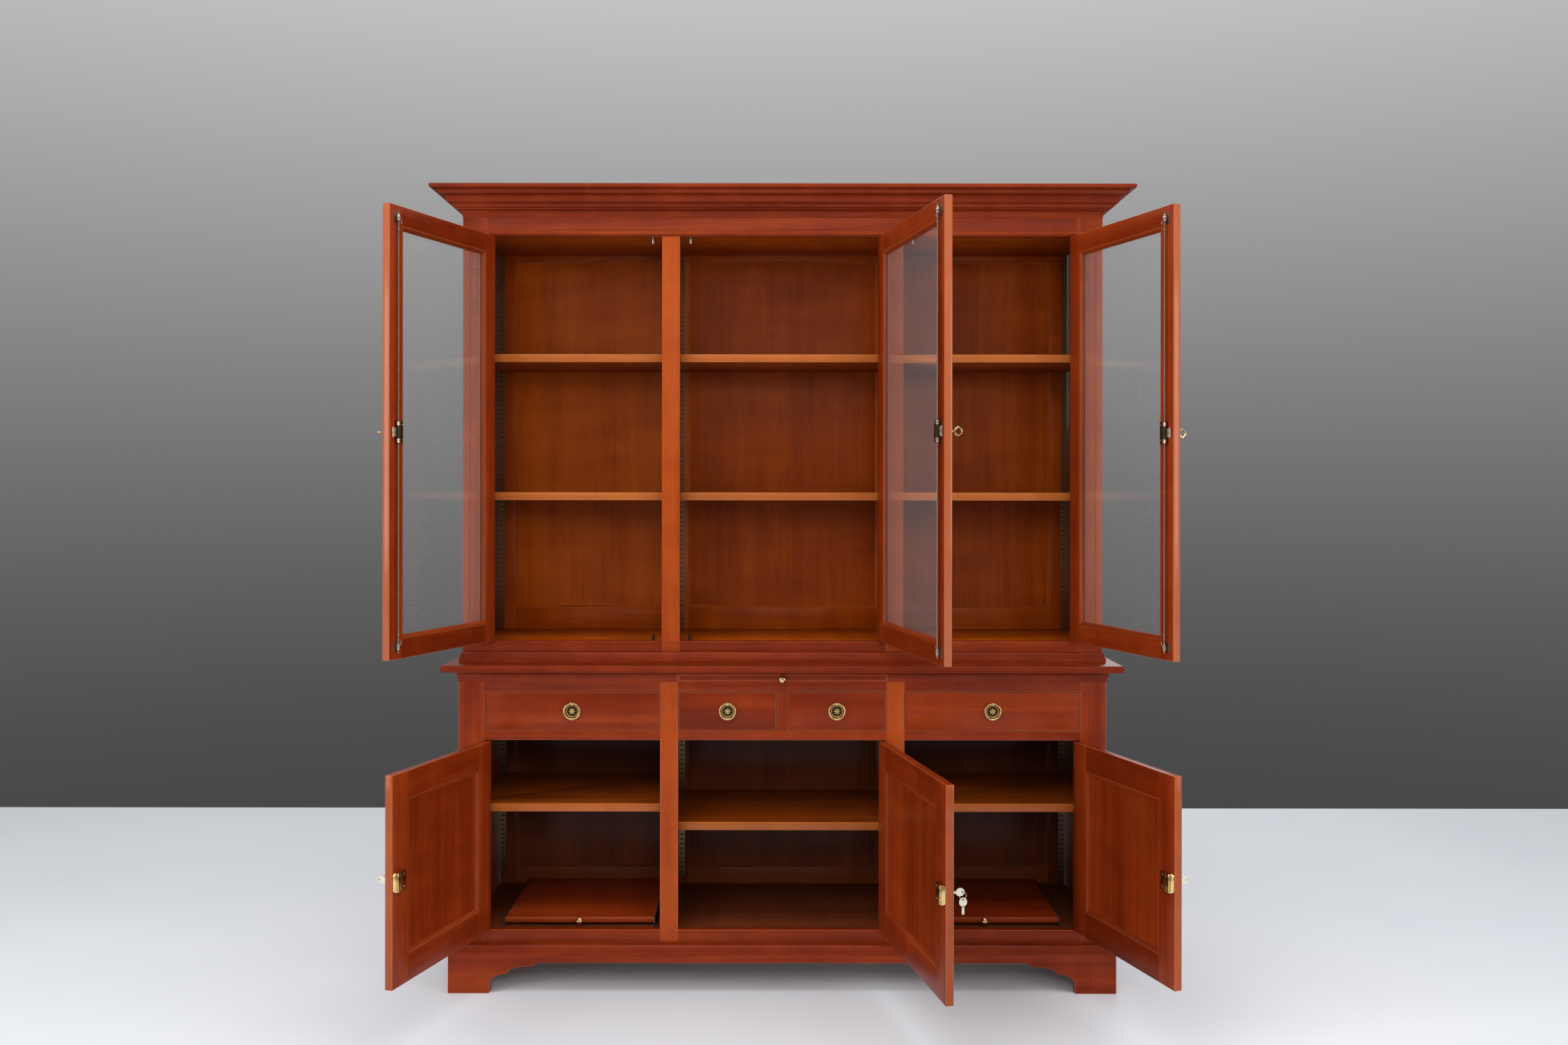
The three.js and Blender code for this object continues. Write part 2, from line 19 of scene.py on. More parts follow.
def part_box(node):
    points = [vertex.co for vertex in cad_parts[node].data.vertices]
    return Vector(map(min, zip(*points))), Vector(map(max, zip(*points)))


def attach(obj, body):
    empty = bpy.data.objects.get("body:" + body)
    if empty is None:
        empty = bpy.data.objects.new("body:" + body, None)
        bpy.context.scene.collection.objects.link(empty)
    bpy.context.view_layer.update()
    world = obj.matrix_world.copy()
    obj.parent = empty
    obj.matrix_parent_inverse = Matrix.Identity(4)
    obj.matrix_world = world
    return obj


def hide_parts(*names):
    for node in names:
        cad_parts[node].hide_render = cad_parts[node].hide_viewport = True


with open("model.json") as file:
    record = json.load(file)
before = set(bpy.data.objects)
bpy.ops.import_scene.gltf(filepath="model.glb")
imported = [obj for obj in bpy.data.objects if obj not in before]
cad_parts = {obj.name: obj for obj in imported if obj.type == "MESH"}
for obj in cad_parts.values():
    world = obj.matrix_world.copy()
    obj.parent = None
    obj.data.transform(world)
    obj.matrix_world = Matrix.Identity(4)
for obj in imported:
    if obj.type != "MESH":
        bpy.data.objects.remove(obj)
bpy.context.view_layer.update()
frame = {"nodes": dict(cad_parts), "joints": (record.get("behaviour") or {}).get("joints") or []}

NODES, JOINTS = frame["nodes"], {joint["name"]: joint for joint in frame["joints"]}

# %% [markdown]
# ## Sizes that everything shares
# We work in metres, as the frame does. The maker's drawing is in millimetres, so each size below is
# written in millimetres and turned into metres once. Depths count from the front face of the lower
# case, as they do at the bench; FRONT is where that face stands in the frame.

# %% Shared sizes
MM = 0.001
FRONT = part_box("lower_face_frame")[0].y
HALF_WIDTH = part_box("lower_face_frame")[1].x
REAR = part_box("lower_side_left")[1].y
UPPER_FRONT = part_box("upper_side_left")[0].y - 21.3 * MM
BAY_OUTER, BAY_SIDE, BAY_CENTRE = 732.8 * MM, 300.4 * MM, 255.7 * MM
DRAWER_OPENING = (638.3 * MM, 735.4 * MM)
UPPER_OPENING = (854.2 * MM, 1862.2 * MM)
BAYS = {"left": (-BAY_OUTER, -BAY_SIDE), "middle": (-BAY_CENTRE, BAY_CENTRE), "right": (BAY_SIDE, BAY_OUTER)}
print("front plane", round(FRONT, 4), "rear", round(REAR, 4), "half width", round(HALF_WIDTH, 4))

# %% [markdown]
# ## The camera
# A long lens from a little over three metres, held level at eye height, keeps the posts upright.
# The picture is slid down with the lens shift, as a view camera does, so nothing leans.

# %% Camera
camera_data = bpy.data.cameras.new("camera")
camera_data.lens, camera_data.sensor_width, camera_data.sensor_fit = 31.47, 36.0, "HORIZONTAL"
camera_data.shift_y = -0.0224
camera = bpy.data.objects.new("camera", camera_data)
camera.location = (0.0036, FRONT - 3.3688, 1.2372)
camera.rotation_euler = (math.radians(90), -0.0011, 0)
bpy.context.scene.collection.objects.link(camera)
bpy.context.scene.camera = camera
print("camera", round((camera.location - Vector((0, FRONT, 1))).length, 2), "m from the doors")

# %% [markdown]
# ## A plain studio
# Polished wood shows every lamp it can see. So the lamps in front, which do most of the lighting, are
# kept out of reflections, as a photographer does with a polarising filter, and two tall soft boxes
# at the sides draw the pale lines along the door edges. The sky is a grey sweep, lighter upwards.

# %% Studio: lamps, sky and floor
def soft_lamp(name, place, target, size, watts, colour, shows=True):
    data = bpy.data.lights.new(name, "AREA")
    data.shape, data.size, data.size_y, data.energy, data.color = "RECTANGLE", *size, watts, colour
    lamp = bpy.data.objects.new(name, data)
    lamp.location = place
    lamp.rotation_euler = (Vector(target) - Vector(place)).to_track_quat("-Z", "Y").to_euler()
    lamp.visible_glossy = shows
    bpy.context.scene.collection.objects.link(lamp)


soft_lamp("key_lamp", (-1.7, -3.2, 2.8), (0, 0.1, 0.95), (2.4, 1.6), 40, (1, 0.965, 0.92), False)
soft_lamp("fill_lamp", (2.3, -3.0, 2.1), (0, 0.1, 0.9), (1.8, 1.6), 24, (1, 0.98, 0.96), False)
soft_lamp("eye_lamp", (0.1, -3.9, 1.95), (0, 0.4, 1.25), (1.6, 0.8), 32, (1, 0.97, 0.94), False)
soft_lamp("left_box", (-2.9, -1.9, 1.5), (-0.6, 0, 1.3), (1.2, 2.1), 30, (1, 0.985, 0.97))
soft_lamp("right_box", (2.9, -1.9, 1.5), (0.6, 0, 1.3), (1.2, 2.1), 25, (1, 0.985, 0.97))
soft_lamp("top_lamp", (0, -1.0, 3.3), (0, 0.3, 1.0), (3.0, 1.0), 34, (0.97, 0.98, 1))
soft_lamp("rear_lamp", (0.8, 3.6, 2.4), (0, 0.4, 1.0), (2.4, 1.8), 30, (0.96, 0.98, 1))
bpy.context.scene.view_settings.view_transform = "Standard"
print("7 soft lamps")

# %% [markdown]
# ## Writing finishes as sums
# A finish is a small network of nodes. Instead of wiring it by hand we write it as arithmetic: a
# Value wraps one socket, and + - * / between values adds the matching Math node. Anything that is
# not arithmetic comes from Finish.node, which is given the node's type, its settings and what goes
# into its sockets.

# %% A value and a finish
class Value:
    """One socket of a finish. Arithmetic on it adds Math nodes."""

    def __init__(self, finish, socket):
        self.finish, self.socket = finish, socket

    def maths(self, operation, *terms, clamp=False):
        settings = {"operation": operation, "use_clamp": clamp}
        return self.finish.node("Math", settings, dict(enumerate(terms)))

    def __add__(self, other):
        return self.maths("ADD", self, other)

    def __radd__(self, other):
        return self.maths("ADD", other, self)

    def __sub__(self, other):
        return self.maths("SUBTRACT", self, other)

    def __rsub__(self, other):
        return self.maths("SUBTRACT", other, self)

    def __mul__(self, other):
        return self.maths("MULTIPLY", self, other)

    def __rmul__(self, other):
        return self.maths("MULTIPLY", other, self)

    def above(self, level, spread):
        """0 below level, rising to 1 over spread."""
        return self.maths("DIVIDE", self - level, spread, clamp=True)


class Finish:
    """A material that is written down as an expression."""

    def __init__(self, name):
        self.material = bpy.data.materials.new(name)
        self.material.use_nodes = True
        self.tree = self.material.node_tree
        self.tree.nodes.clear()

    def node(self, kind, settings=None, sockets=None, output=0):
        made = self.tree.nodes.new("ShaderNode" + kind)
        for key, setting in (settings or {}).items():
            setattr(made, key, setting)
        for key, value in (sockets or {}).items():
            if isinstance(value, Value):
                self.tree.links.new(value.socket, made.inputs[key])
            else:
                made.inputs[key].default_value = value
        return Value(self, made.outputs[output]) if made.outputs else None

    def noise(self, where, stretch, detail=3.0, roughness=0.55, bend=0.0):
        """Noise with its own repeats per metre along each axis."""
        spread = self.node("VectorMath", {"operation": "MULTIPLY"}, {0: where, 1: stretch})
        return self.node("TexNoise", {}, {"Vector": spread, "Scale": 1.0, "Detail": detail,
                                          "Roughness": roughness, "Distortion": bend}, "Fac")

    def mix(self, share, first, second):
        """A blend of two colours."""
        return self.node("Mix", {"data_type": "RGBA"}, {0: share, 6: first, 7: second}, 2)

    def shader(self, **sockets):
        """The Principled shader; extra words are its sockets, with _ for spaces."""
        named = {key.replace("_", " "): value for key, value in sockets.items()}
        return self.node("BsdfPrincipled", {}, named)

    def done(self, shader):
        self.node("OutputMaterial", {}, {"Surface": shader})
        return self.material


print("Value and Finish are ready")

# %% [markdown]
# ## The floor
# A pale painted floor with the faintest unevenness, so that the feet cast a soft, believable shadow.

# %% Floor and sky
def floor_finish():
    paint = Finish("pale_floor")
    where = paint.node("TexCoord", {}, {}, "Object")
    cloud = paint.noise(where, (1.1, 1.1, 1.1), 4.0)
    colour = paint.mix(cloud, (0.70, 0.735, 0.79, 1), (0.80, 0.82, 0.855, 1))
    return paint.done(paint.shader(Base_Color=colour, Roughness=0.5 + 0.15 * cloud))


def make_floor(front, back, half):
    mesh = bpy.data.meshes.new("floor")
    corners = [(-half, front, 0), (half, front, 0), (half, back, 0), (-half, back, 0)]
    mesh.from_pydata(corners, [], [(0, 1, 2, 3)])
    mesh.materials.append(floor_finish())
    floor = bpy.data.objects.new("floor", mesh)
    bpy.context.scene.collection.objects.link(floor)


def make_sky():
    world = bpy.data.worlds.new("studio")
    world.use_nodes = True
    bpy.context.scene.world = world
    nodes, links = world.node_tree.nodes, world.node_tree.links
    where = nodes.new("ShaderNodeTexCoord")
    split = nodes.new("ShaderNodeSeparateXYZ")
    ramp = nodes.new("ShaderNodeMapRange")
    ramp.inputs["From Min"].default_value, ramp.inputs["From Max"].default_value = -0.25, 0.35
    bend = nodes.new("ShaderNodeMath")
    bend.operation, bend.inputs[1].default_value = "POWER", 1.9
    colour = nodes.new("ShaderNodeMix")
    colour.data_type = "RGBA"
    colour.inputs[6].default_value = (0.062, 0.062, 0.063, 1)
    colour.inputs[7].default_value = (0.57, 0.57, 0.575, 1)
    links.new(where.outputs["Generated"], split.inputs[0])
    links.new(split.outputs["Z"], ramp.inputs["Value"])
    links.new(ramp.outputs["Result"], bend.inputs[0])
    links.new(bend.outputs[0], colour.inputs[0])
    links.new(colour.outputs[2], nodes["Background"].inputs["Color"])


make_floor(-14, FRONT + 1.918, 14)
make_sky()
print("floor and sky")

# %% [markdown]
# ## Wood that knows its boards
# Real wood is a solid pattern: the grain is the same inside as on the surface. So every corner of
# every board carries its own place in the log, in an attribute called grain: x runs along the
# fibres, y and z across. Two more attributes say how dark the board is (tone) and how far its colour
# turns to a pale edge colour and its coat to gloss: partly real wear where the edge has been handled,
# partly painted highlight where an edge catches the light. One recipe then finishes every board, and
# no two look alike.

# %% Wood recipes
def wood_finish(name, dark, middle, light, worn, polish, figure=1.0):
    wood = Finish(name)
    grain = wood.node("Attribute", {"attribute_name": "grain"}, {}, "Vector")
    tone = wood.node("Attribute", {"attribute_name": "tone"}, {}, "Fac")
    wear = wood.node("Attribute", {"attribute_name": "wear"}, {}, "Fac")
    bands = wood.noise(grain, (0.9, 11.0, 11.0), 3.0, 0.5, 0.9)
    ribbons = wood.noise(grain, (1.3, 46.0, 46.0), 3.0, 0.6, 0.4)
    fibres = wood.noise(grain, (7.0, 520.0, 520.0), 2.0, 0.6)
    pores = wood.noise(grain, (34.0, 1500.0, 1500.0), 1.0, 0.5).above(0.60, 0.10)
    crossfire = wood.noise(grain, (16.0, 5.0, 5.0), 2.0, 0.5)
    figured = (bands - 0.5) * (1.15 * figure) + (ribbons - 0.5) * (0.6 * figure) + (fibres - 0.5) * 0.4
    shade = figured + (crossfire - 0.5) * 0.45 + tone * 0.16 + 0.5
    low = shade.above(0.02, 0.5)
    high = shade.above(0.48, 0.52)
    colour = wood.mix(high, wood.mix(low, dark, middle), light)
    colour = wood.mix(pores * 0.42, colour, tuple(0.35 * c for c in dark[:3]) + (1,))
    patch = wood.noise(wood.node("TexCoord", {}, {}, "Object"), (24.0, 24.0, 24.0), 3.0, 0.6)
    # The pale edge colour: partly real wear, partly painted highlight on eased edges and faces that catch the
    # light.
    colour = wood.mix(wear * (0.35 + 0.6 * patch), colour, worn)
    rough = polish + (patch - 0.5) * 0.10 + (fibres - 0.5) * 0.08 + pores * 0.10
    height = fibres * 0.5 - pores * 0.9 + ribbons * 0.3
    normal = wood.node("Bump", {}, {"Strength": 0.22, "Distance": 0.00025, "Height": height}, "Normal")
    return wood.done(wood.shader(Base_Color=colour, Roughness=rough, Normal=normal,
                                 Coat_Weight=0.12 + wear * 0.6, Coat_Roughness=0.17,
                                 Specular_IOR_Level=0.1))


MAHOGANY = wood_finish("polished_mahogany", (0.102, 0.0095, 0.0012, 1), (0.192, 0.0210, 0.0030, 1),
                       (0.290, 0.0410, 0.0060, 1), (0.46, 0.120, 0.034, 1), 0.33)
# A paler copy of the mahogany: painted highlight on the posts and on the free edges of the glazed doors.
PAINTED_HIGHLIGHT_MAHOGANY = wood_finish("bright_mahogany_posts", (0.200, 0.0260, 0.0030, 1), (0.305, 0.0460, 0.0052, 1),
                     (0.400, 0.0740, 0.0100, 1), (0.36, 0.100, 0.036, 1), 0.33, 0.8)
GOLDEN = wood_finish("golden_interior", (0.150, 0.0195, 0.0009, 1), (0.300, 0.0500, 0.0019, 1),
                     (0.470, 0.1000, 0.0048, 1), (0.50, 0.150, 0.030, 1), 0.40, 0.55)
# A darker copy of the golden interior: painted shade for the lower bays, which light from above hardly reaches.
SHADED = wood_finish("dark_lower_interior", (0.055, 0.0120, 0.0040, 1), (0.115, 0.0260, 0.0085, 1),
                     (0.190, 0.0460, 0.0130, 1), (0.30, 0.090, 0.026, 1), 0.42, 0.6)
SHELF_WOOD = wood_finish("shelf_wood", (0.165, 0.0250, 0.0018, 1), (0.275, 0.0500, 0.0040, 1),
                         (0.380, 0.0830, 0.0080, 1), (0.52, 0.175, 0.040, 1), 0.36)
DRAWER_WOOD = wood_finish("plain_drawer_wood", (0.26, 0.12, 0.045, 1), (0.42, 0.22, 0.09, 1),
                          (0.55, 0.32, 0.14, 1), (0.62, 0.40, 0.20, 1), 0.55, 0.8)
BARE_WOOD = wood_finish("unpolished_back", (0.12, 0.045, 0.016, 1), (0.24, 0.095, 0.035, 1),
                        (0.34, 0.155, 0.062, 1), (0.42, 0.23, 0.11, 1), 0.62, 0.9)
print("7 wood recipes")

# %% [markdown]
# ## Metal and glass
# Old lacquered brass is bright where fingers reach it and brown in the recesses. The same attribute
# as on the wood serves here: 1 is a polished high spot and 0 a recess. Nickel and the dark lock cases use
# the recipe with other colours. Window glass is a thin sheet, so it lets light straight through and
# only mirrors, more at a grazing angle, with faint wiping marks.

# %% Metal and glass recipes
def metal_finish(name, tarnish, polished, rough, metallic=1.0):
    metal = Finish(name)
    where = metal.node("TexCoord", {}, {}, "Object")
    wear = metal.node("Attribute", {"attribute_name": "wear"}, {}, "Fac")
    spots = metal.noise(where, (210.0, 210.0, 210.0), 4.0, 0.65)
    scratches = metal.noise(where, (900.0, 900.0, 160.0), 2.0, 0.6)
    bright = (wear + (spots - 0.5) * 0.7).above(0.05, 0.75)
    colour = metal.mix(bright, tarnish, polished)
    roughness = rough + (1 - bright) * 0.22 + (scratches - 0.5) * 0.14
    normal = metal.node("Bump", {}, {"Strength": 0.15, "Distance": 0.0002, "Height": spots + scratches},
                        "Normal")
    return metal.done(metal.shader(Base_Color=colour, Roughness=roughness, Metallic=metallic, Normal=normal))


def glass_finish():
    glass = Finish("window_glass")
    where = glass.node("TexCoord", {}, {}, "Object")
    wiped = glass.noise(where, (5.0, 5.0, 2.2), 4.0, 0.65, 1.2)
    grazing = glass.node("LayerWeight", {}, {"Blend": 0.5}, "Facing")
    share = grazing.maths("POWER", grazing, 5.0) * 0.9 + wiped.above(0.5, 0.4) * 0.02 + 0.035
    haze = grazing.maths("POWER", grazing, 2.0) * 0.05 + wiped.above(0.42, 0.5) * 0.02 + 0.03
    window = glass.node("BsdfTransparent", {}, {"Color": (0.95, 0.97, 0.965, 1)})
    dust = glass.node("BsdfDiffuse", {}, {"Color": (0.80, 0.815, 0.84, 1)})
    clear = glass.node("MixShader", {}, {0: haze, 1: window, 2: dust})
    mirror = glass.node("BsdfGlossy", {}, {"Color": (0.95, 0.98, 1, 1), "Roughness": 0.03 + wiped * 0.05})
    return glass.done(glass.node("MixShader", {}, {0: share, 1: clear, 2: mirror}))


BRASS = metal_finish("aged_brass", (0.050, 0.028, 0.010, 1), (0.78, 0.56, 0.24, 1), 0.20)
NICKEL = metal_finish("worn_nickel", (0.16, 0.13, 0.09, 1), (0.74, 0.68, 0.55, 1), 0.22)
STRIP_METAL = metal_finish("strip_metal", (0.10, 0.065, 0.03, 1), (0.50, 0.38, 0.22, 1), 0.34)
ROD_METAL = metal_finish("browned_rod", (0.075, 0.046, 0.030, 1), (0.42, 0.33, 0.26, 1), 0.26)
DARK_METAL = metal_finish("browned_lock_case", (0.030, 0.020, 0.013, 1), (0.17, 0.115, 0.065, 1), 0.30)
RUNNER = metal_finish("blackened_runner", (0.008, 0.008, 0.009, 1), (0.07, 0.068, 0.065, 1), 0.38, 0.6)
GLASS = glass_finish()
FINISHES = [MAHOGANY, PAINTED_HIGHLIGHT_MAHOGANY, GOLDEN, SHADED, SHELF_WOOD, DRAWER_WOOD, BARE_WOOD, BRASS, NICKEL,
            STRIP_METAL, ROD_METAL, DARK_METAL, RUNNER, GLASS]
print(len(FINISHES), "finishes")

# %% [markdown]
# ## The bench
# A Bench gathers the boards, mouldings or castings of one piece and then makes a single mesh of
# them. Everything is laid out straight on the bench, with doors closed and flat; the matrix given
# to the bench carries the finished piece to where it hangs. A left-handed door becomes a
# right-handed one with a mirrored matrix, so the bench turns its faces round again.

# %% The bench
AXES = {"x": 0, "y": 1, "z": 2}
SHARP = math.radians(32)


class Bench:
    """Gathers the parts of one piece and makes them one mesh object."""

    boards = 0

    def __init__(self, place=None):
        self.place = place or Matrix.Identity(4)
        self.points, self.faces, self.marks = [], [], []

    def take(self, bm, look, axis="z", boards=(), wear=0.0, smooth=False):
        """Adds a bmesh. Faces inside one of the boards' spans take that board's grain."""
        Bench.boards += 1
        first, number = len(self.points), Bench.boards
        worn = bm.faces.layers.int.get("worn")
        bm.verts.index_update()
        self.points += [v.co.copy() for v in bm.verts]
        for face in bm.faces:
            way, log = axis, number
            middle = face.calc_center_median()
            for index, (spans, along) in enumerate(boards):
                if all(low <= middle[AXES[span]] <= high for span, low, high in spans):
                    way, log = along, number + 7919 * (index + 1)
                    break
            # Share of the pale edge colour: real wear and painted highlight.
            rub_and_sheen = 1.0 if worn and face[worn] else (wear(face) if callable(wear) else wear)
            finish = look(face) if callable(look) else look
            self.faces.append([first + v.index for v in face.verts])
            self.marks.append((finish, AXES[way], log, rub_and_sheen, smooth or face.smooth))
        bm.free()

    def make(self, name, body, slot, replaces=()):
        looks = sorted({mark[0].name for mark in self.marks})
        mirrored = self.place.determinant() < 0
        mesh = bpy.data.meshes.new(name)
        faces = [face[::-1] if mirrored else face for face in self.faces]
        mesh.from_pydata([self.place @ point for point in self.points], [], faces)
        for look in looks:
            mesh.materials.append(bpy.data.materials[look])
        mesh.polygons.foreach_set("material_index", [looks.index(mark[0].name) for mark in self.marks])
        mesh.polygons.foreach_set("use_smooth", [bool(mark[4]) for mark in self.marks])
        grain, tone, wear = [], [], []
        for face, (_, way, log, rub_and_sheen, _) in zip(faces, self.marks):
            draw = random.Random(log)
            offset = (draw.uniform(0, 9), draw.uniform(0, 4), draw.uniform(0, 4))
            shade = draw.uniform(-1, 1)
            for index in face:
                point = self.points[index]
                grain += [point[(way + i) % 3] + offset[i] for i in range(3)]
                tone.append(shade)
                wear.append(rub_and_sheen)
        mesh.attributes.new("grain", "FLOAT_VECTOR", "CORNER").data.foreach_set("vector", grain)
        mesh.attributes.new("tone", "FLOAT", "CORNER").data.foreach_set("value", tone)
        mesh.attributes.new("wear", "FLOAT", "CORNER").data.foreach_set("value", wear)
        mesh.set_sharp_from_angle(angle=SHARP)
        mesh.update()
        piece = bpy.data.objects.new(name, mesh)
        bpy.context.scene.collection.objects.link(piece)
        return settle(piece, body, replaces)


def settle(piece, body, replaces=()):
    """Lets a finished piece ride on its body."""
    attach(piece, body)
    if replaces:
        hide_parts(*replaces)
    return piece


print("the bench is ready")

# %% [markdown]
# ## Shapes for the bench
# Five ways of making a shape cover nearly all of the cabinet: a planed board with eased edges, a
# moulding run round the case with mitred corners, the same round a rectangle, a turned knob, and a
# bent wire. A sharp edge never catches the light, so every board gets its arrises eased.

# %% Boards with eased edges
def ease(bm, radius, segments=2, angle=25):
    """Rounds every edge where two faces meet at more than the angle, and marks the new faces for the
    pale edge colour, which is partly real wear and partly painted highlight.
    """
    worn = bm.faces.layers.int.get("worn") or bm.faces.layers.int.new("worn")
    edges = [e for e in bm.edges if len(e.link_faces) == 2 and e.calc_face_angle(0) > math.radians(angle)]
    made = bmesh.ops.bevel(bm, geom=edges, offset=radius, offset_type="OFFSET", segments=segments,
                           profile=0.5, affect="EDGES", clamp_overlap=True)
    for face in made["faces"]:
        face[worn] = 1
    return bm


def block(x0, x1, y0, y1, z0, z1):
    """A plain block between six planes."""
    bm = bmesh.new()
    bmesh.ops.create_cube(bm, size=1.0)
    size, centre = (x1 - x0, y1 - y0, z1 - z0), ((x0 + x1) / 2, (y0 + y1) / 2, (z0 + z1) / 2)
    for vert in bm.verts:
        vert.co = Vector([centre[i] + vert.co[i] * size[i] for i in range(3)])
    return bm


def board(x0, x1, y0, y1, z0, z1, radius=0.8 * MM):
    return ease(block(x0, x1, y0, y1, z0, z1), radius)


def measured(node, back=None, radius=1.0 * MM, cuts=(), bevel=True):
    """A copy of a CAD node laid on the bench, merged, cut along its joints and eased."""
    bm = bmesh.new()
    bm.from_mesh(NODES[node].data)
    if back is not None:
        bmesh.ops.transform(bm, matrix=back, verts=bm.verts)
        if back.determinant() < 0:
            bmesh.ops.reverse_faces(bm, faces=bm.faces)
    bmesh.ops.remove_doubles(bm, verts=bm.verts, dist=0.00002)
    bmesh.ops.dissolve_limit(bm, angle_limit=math.radians(1), verts=bm.verts, edges=bm.edges)
    if bevel:
        ease(bm, radius)
    for span, at in cuts:
        normal = Vector([1.0 if i == AXES[span] else 0.0 for i in range(3)])
        whole = [*bm.verts, *bm.edges, *bm.faces]
        bmesh.ops.bisect_plane(bm, geom=whole, dist=1e-6, plane_co=normal * at, plane_no=normal)
    return bm


print("boards: ease, block, board, measured")

# %% Mouldings, turned work and bent wire
def curve(a0, b0, a1, b1, hollow, steps=7):
    """A quarter ellipse between two corners of a profile, hollow or swelling."""
    turns = [math.pi / 2 * i / steps for i in range(steps + 1)]
    if hollow:
        return [(a0 + (a1 - a0) * (1 - math.cos(t)), b0 + (b1 - b0) * math.sin(t)) for t in turns]
    return [(a0 + (a1 - a0) * math.sin(t), b0 + (b1 - b0) * (1 - math.cos(t))) for t in turns]


def sweep(stations, closed, smooth=True):
    """Joins rings of points into a skin; an open run gets its two ends filled."""
    bm = bmesh.new()
    rings = [[bm.verts.new(point) for point in ring] for ring in stations]
    count, pairs = len(rings[0]), list(zip(rings, rings[1:] + rings[:1]))
    for one, other in pairs if closed else pairs[:-1]:
        for i in range(count):
            j = (i + 1) % count
            bm.faces.new((one[i], one[j], other[j], other[i])).smooth = smooth
    if not closed:
        bm.faces.new(rings[0])
        bm.faces.new(rings[-1])
    bmesh.ops.recalc_face_normals(bm, faces=bm.faces)
    return bm


def case_run(profile, front, rear=REAR, half=HALF_WIDTH):
    """A moulding mitred round the front and both ends; its profile is (projection, height)."""
    corners = [(-1, rear, 0), (-1, front, 1), (1, front, 1), (1, rear, 0)]
    return sweep([[(side * (half + p), depth - p * turned, z) for p, z in profile]
                  for side, depth, turned in corners], False)


def frame_run(rectangle, profile, depth, outwards=-1, flat="y"):
    """A moulding round the inside of a rectangle; its profile is (distance in from the edge, height)."""
    a0, a1, b0, b1 = rectangle
    stations = []
    for sa, sb in ((0, 0), (1, 0), (1, 1), (0, 1)):
        ring = []
        for inward, height in profile:
            a = a1 - inward if sa else a0 + inward
            b = b1 - inward if sb else b0 + inward
            d = depth + outwards * height
            ring.append((a, d, b) if flat == "y" else (d, a, b))
        stations.append(ring)
    return sweep(stations, True)


def frame_boards(rectangle):
    """The four sides of a frame as boards, so that the grain follows each side."""
    a0, a1, b0, b1 = rectangle
    width = 20 * MM
    return [((("z", b0 - MM, b0 + width),), "x"), ((("z", b1 - width, b1 + MM),), "x")]


def turned(profile, centre, way, segments=24, smooth=True):
    """Turned work. The profile is (radius, height) up the axis way, from the foot to the tip."""
    axis = Vector(way).normalized()
    side = axis.orthogonal().normalized()
    other = axis.cross(side)
    rings = []
    for step in range(segments):
        angle = 2 * math.pi * step / segments
        out = side * math.cos(angle) + other * math.sin(angle)
        rings.append([Vector(centre) + out * max(r, 1e-6) + axis * h for r, h in profile])
    bm = bmesh.new()
    points = [[bm.verts.new(p) for p in ring] for ring in rings]
    for one, next_ring in zip(points, points[1:] + points[:1]):
        for i in range(len(profile) - 1):
            bm.faces.new((one[i], next_ring[i], next_ring[i + 1], one[i + 1])).smooth = smooth
    bmesh.ops.remove_doubles(bm, verts=bm.verts, dist=0.00001)
    rim = [e for e in bm.edges if len(e.link_faces) == 1]
    if rim:
        bmesh.ops.holes_fill(bm, edges=rim, sides=0)
    bmesh.ops.recalc_face_normals(bm, faces=bm.faces)
    return bm


def wire(path, radius, closed=False, segments=8):
    """A bent wire along a path of points; radius may be one number or one for each point."""
    points = [Vector(p) for p in path]
    count = len(points)
    radii = radius if isinstance(radius, (list, tuple)) else [radius] * count
    side, rings = None, []
    for i, point in enumerate(points):
        before = points[i - 1] if closed or i else point
        after = points[(i + 1) % count] if closed or i < count - 1 else point
        along = (after - before).normalized()
        side = along.orthogonal().normalized() if side is None else (side - along * side.dot(along)).normalized()
        other = along.cross(side)
        angles = [2 * math.pi * k / segments for k in range(segments)]
        rings.append([point + (side * math.cos(a) + other * math.sin(a)) * radii[i] for a in angles])
    return sweep(rings, closed)


def cutout(outline, thickness, depth, flat="y"):
    """A flat shape of even thickness; the outline is in X and Z, or in Y and Z."""
    def lay(a, b, d):
        return (a, d, b) if flat == "y" else (d, a, b)
    return sweep([[lay(a, b, depth) for a, b in outline], [lay(a, b, depth + thickness) for a, b in outline]],
                 False, smooth=False)


print("mouldings: case_run, frame_run; turned work, wire, cutout")

# %% [markdown]
# ## The two cases
# The boards of the case keep their measured shape, so we only lay a copy on the bench, ease its
# edges and say which way the grain runs. A face frame is one solid in the model but several boards
# in life: posts run the full height with upright grain, and rails fit between them. Cutting the
# copy along those joints lets each board have its own piece of wood.

# %% Face frames, sides, dividers, floors and shelves
FAR = 9.0


def strips_of(span, *limits):
    """Boards between pairs of limits along one axis, all with upright grain."""
    return [(((span, low, high),), "z") for low, high in limits]


POSTS = ((-FAR, -BAY_OUTER), (BAY_OUTER, FAR), (-BAY_SIDE, -BAY_CENTRE), (BAY_CENTRE, BAY_SIDE))
POST_CUTS = [("x", edge) for edge in (-BAY_OUTER, -BAY_SIDE, -BAY_CENTRE, BAY_CENTRE, BAY_SIDE, BAY_OUTER)]
DRAWER_POST = ((("x", -13.2 * MM, 13.2 * MM), ("z", DRAWER_OPENING[0] - MM, DRAWER_OPENING[1] + MM)), "z")
UPPER_RAILS = [((("z", UPPER_OPENING[1] - MM, FAR), ("x", -BAY_OUTER, BAY_OUTER)), "x"),
               ((("z", 0, UPPER_OPENING[0] + MM), ("x", -BAY_OUTER, BAY_OUTER)), "x")]


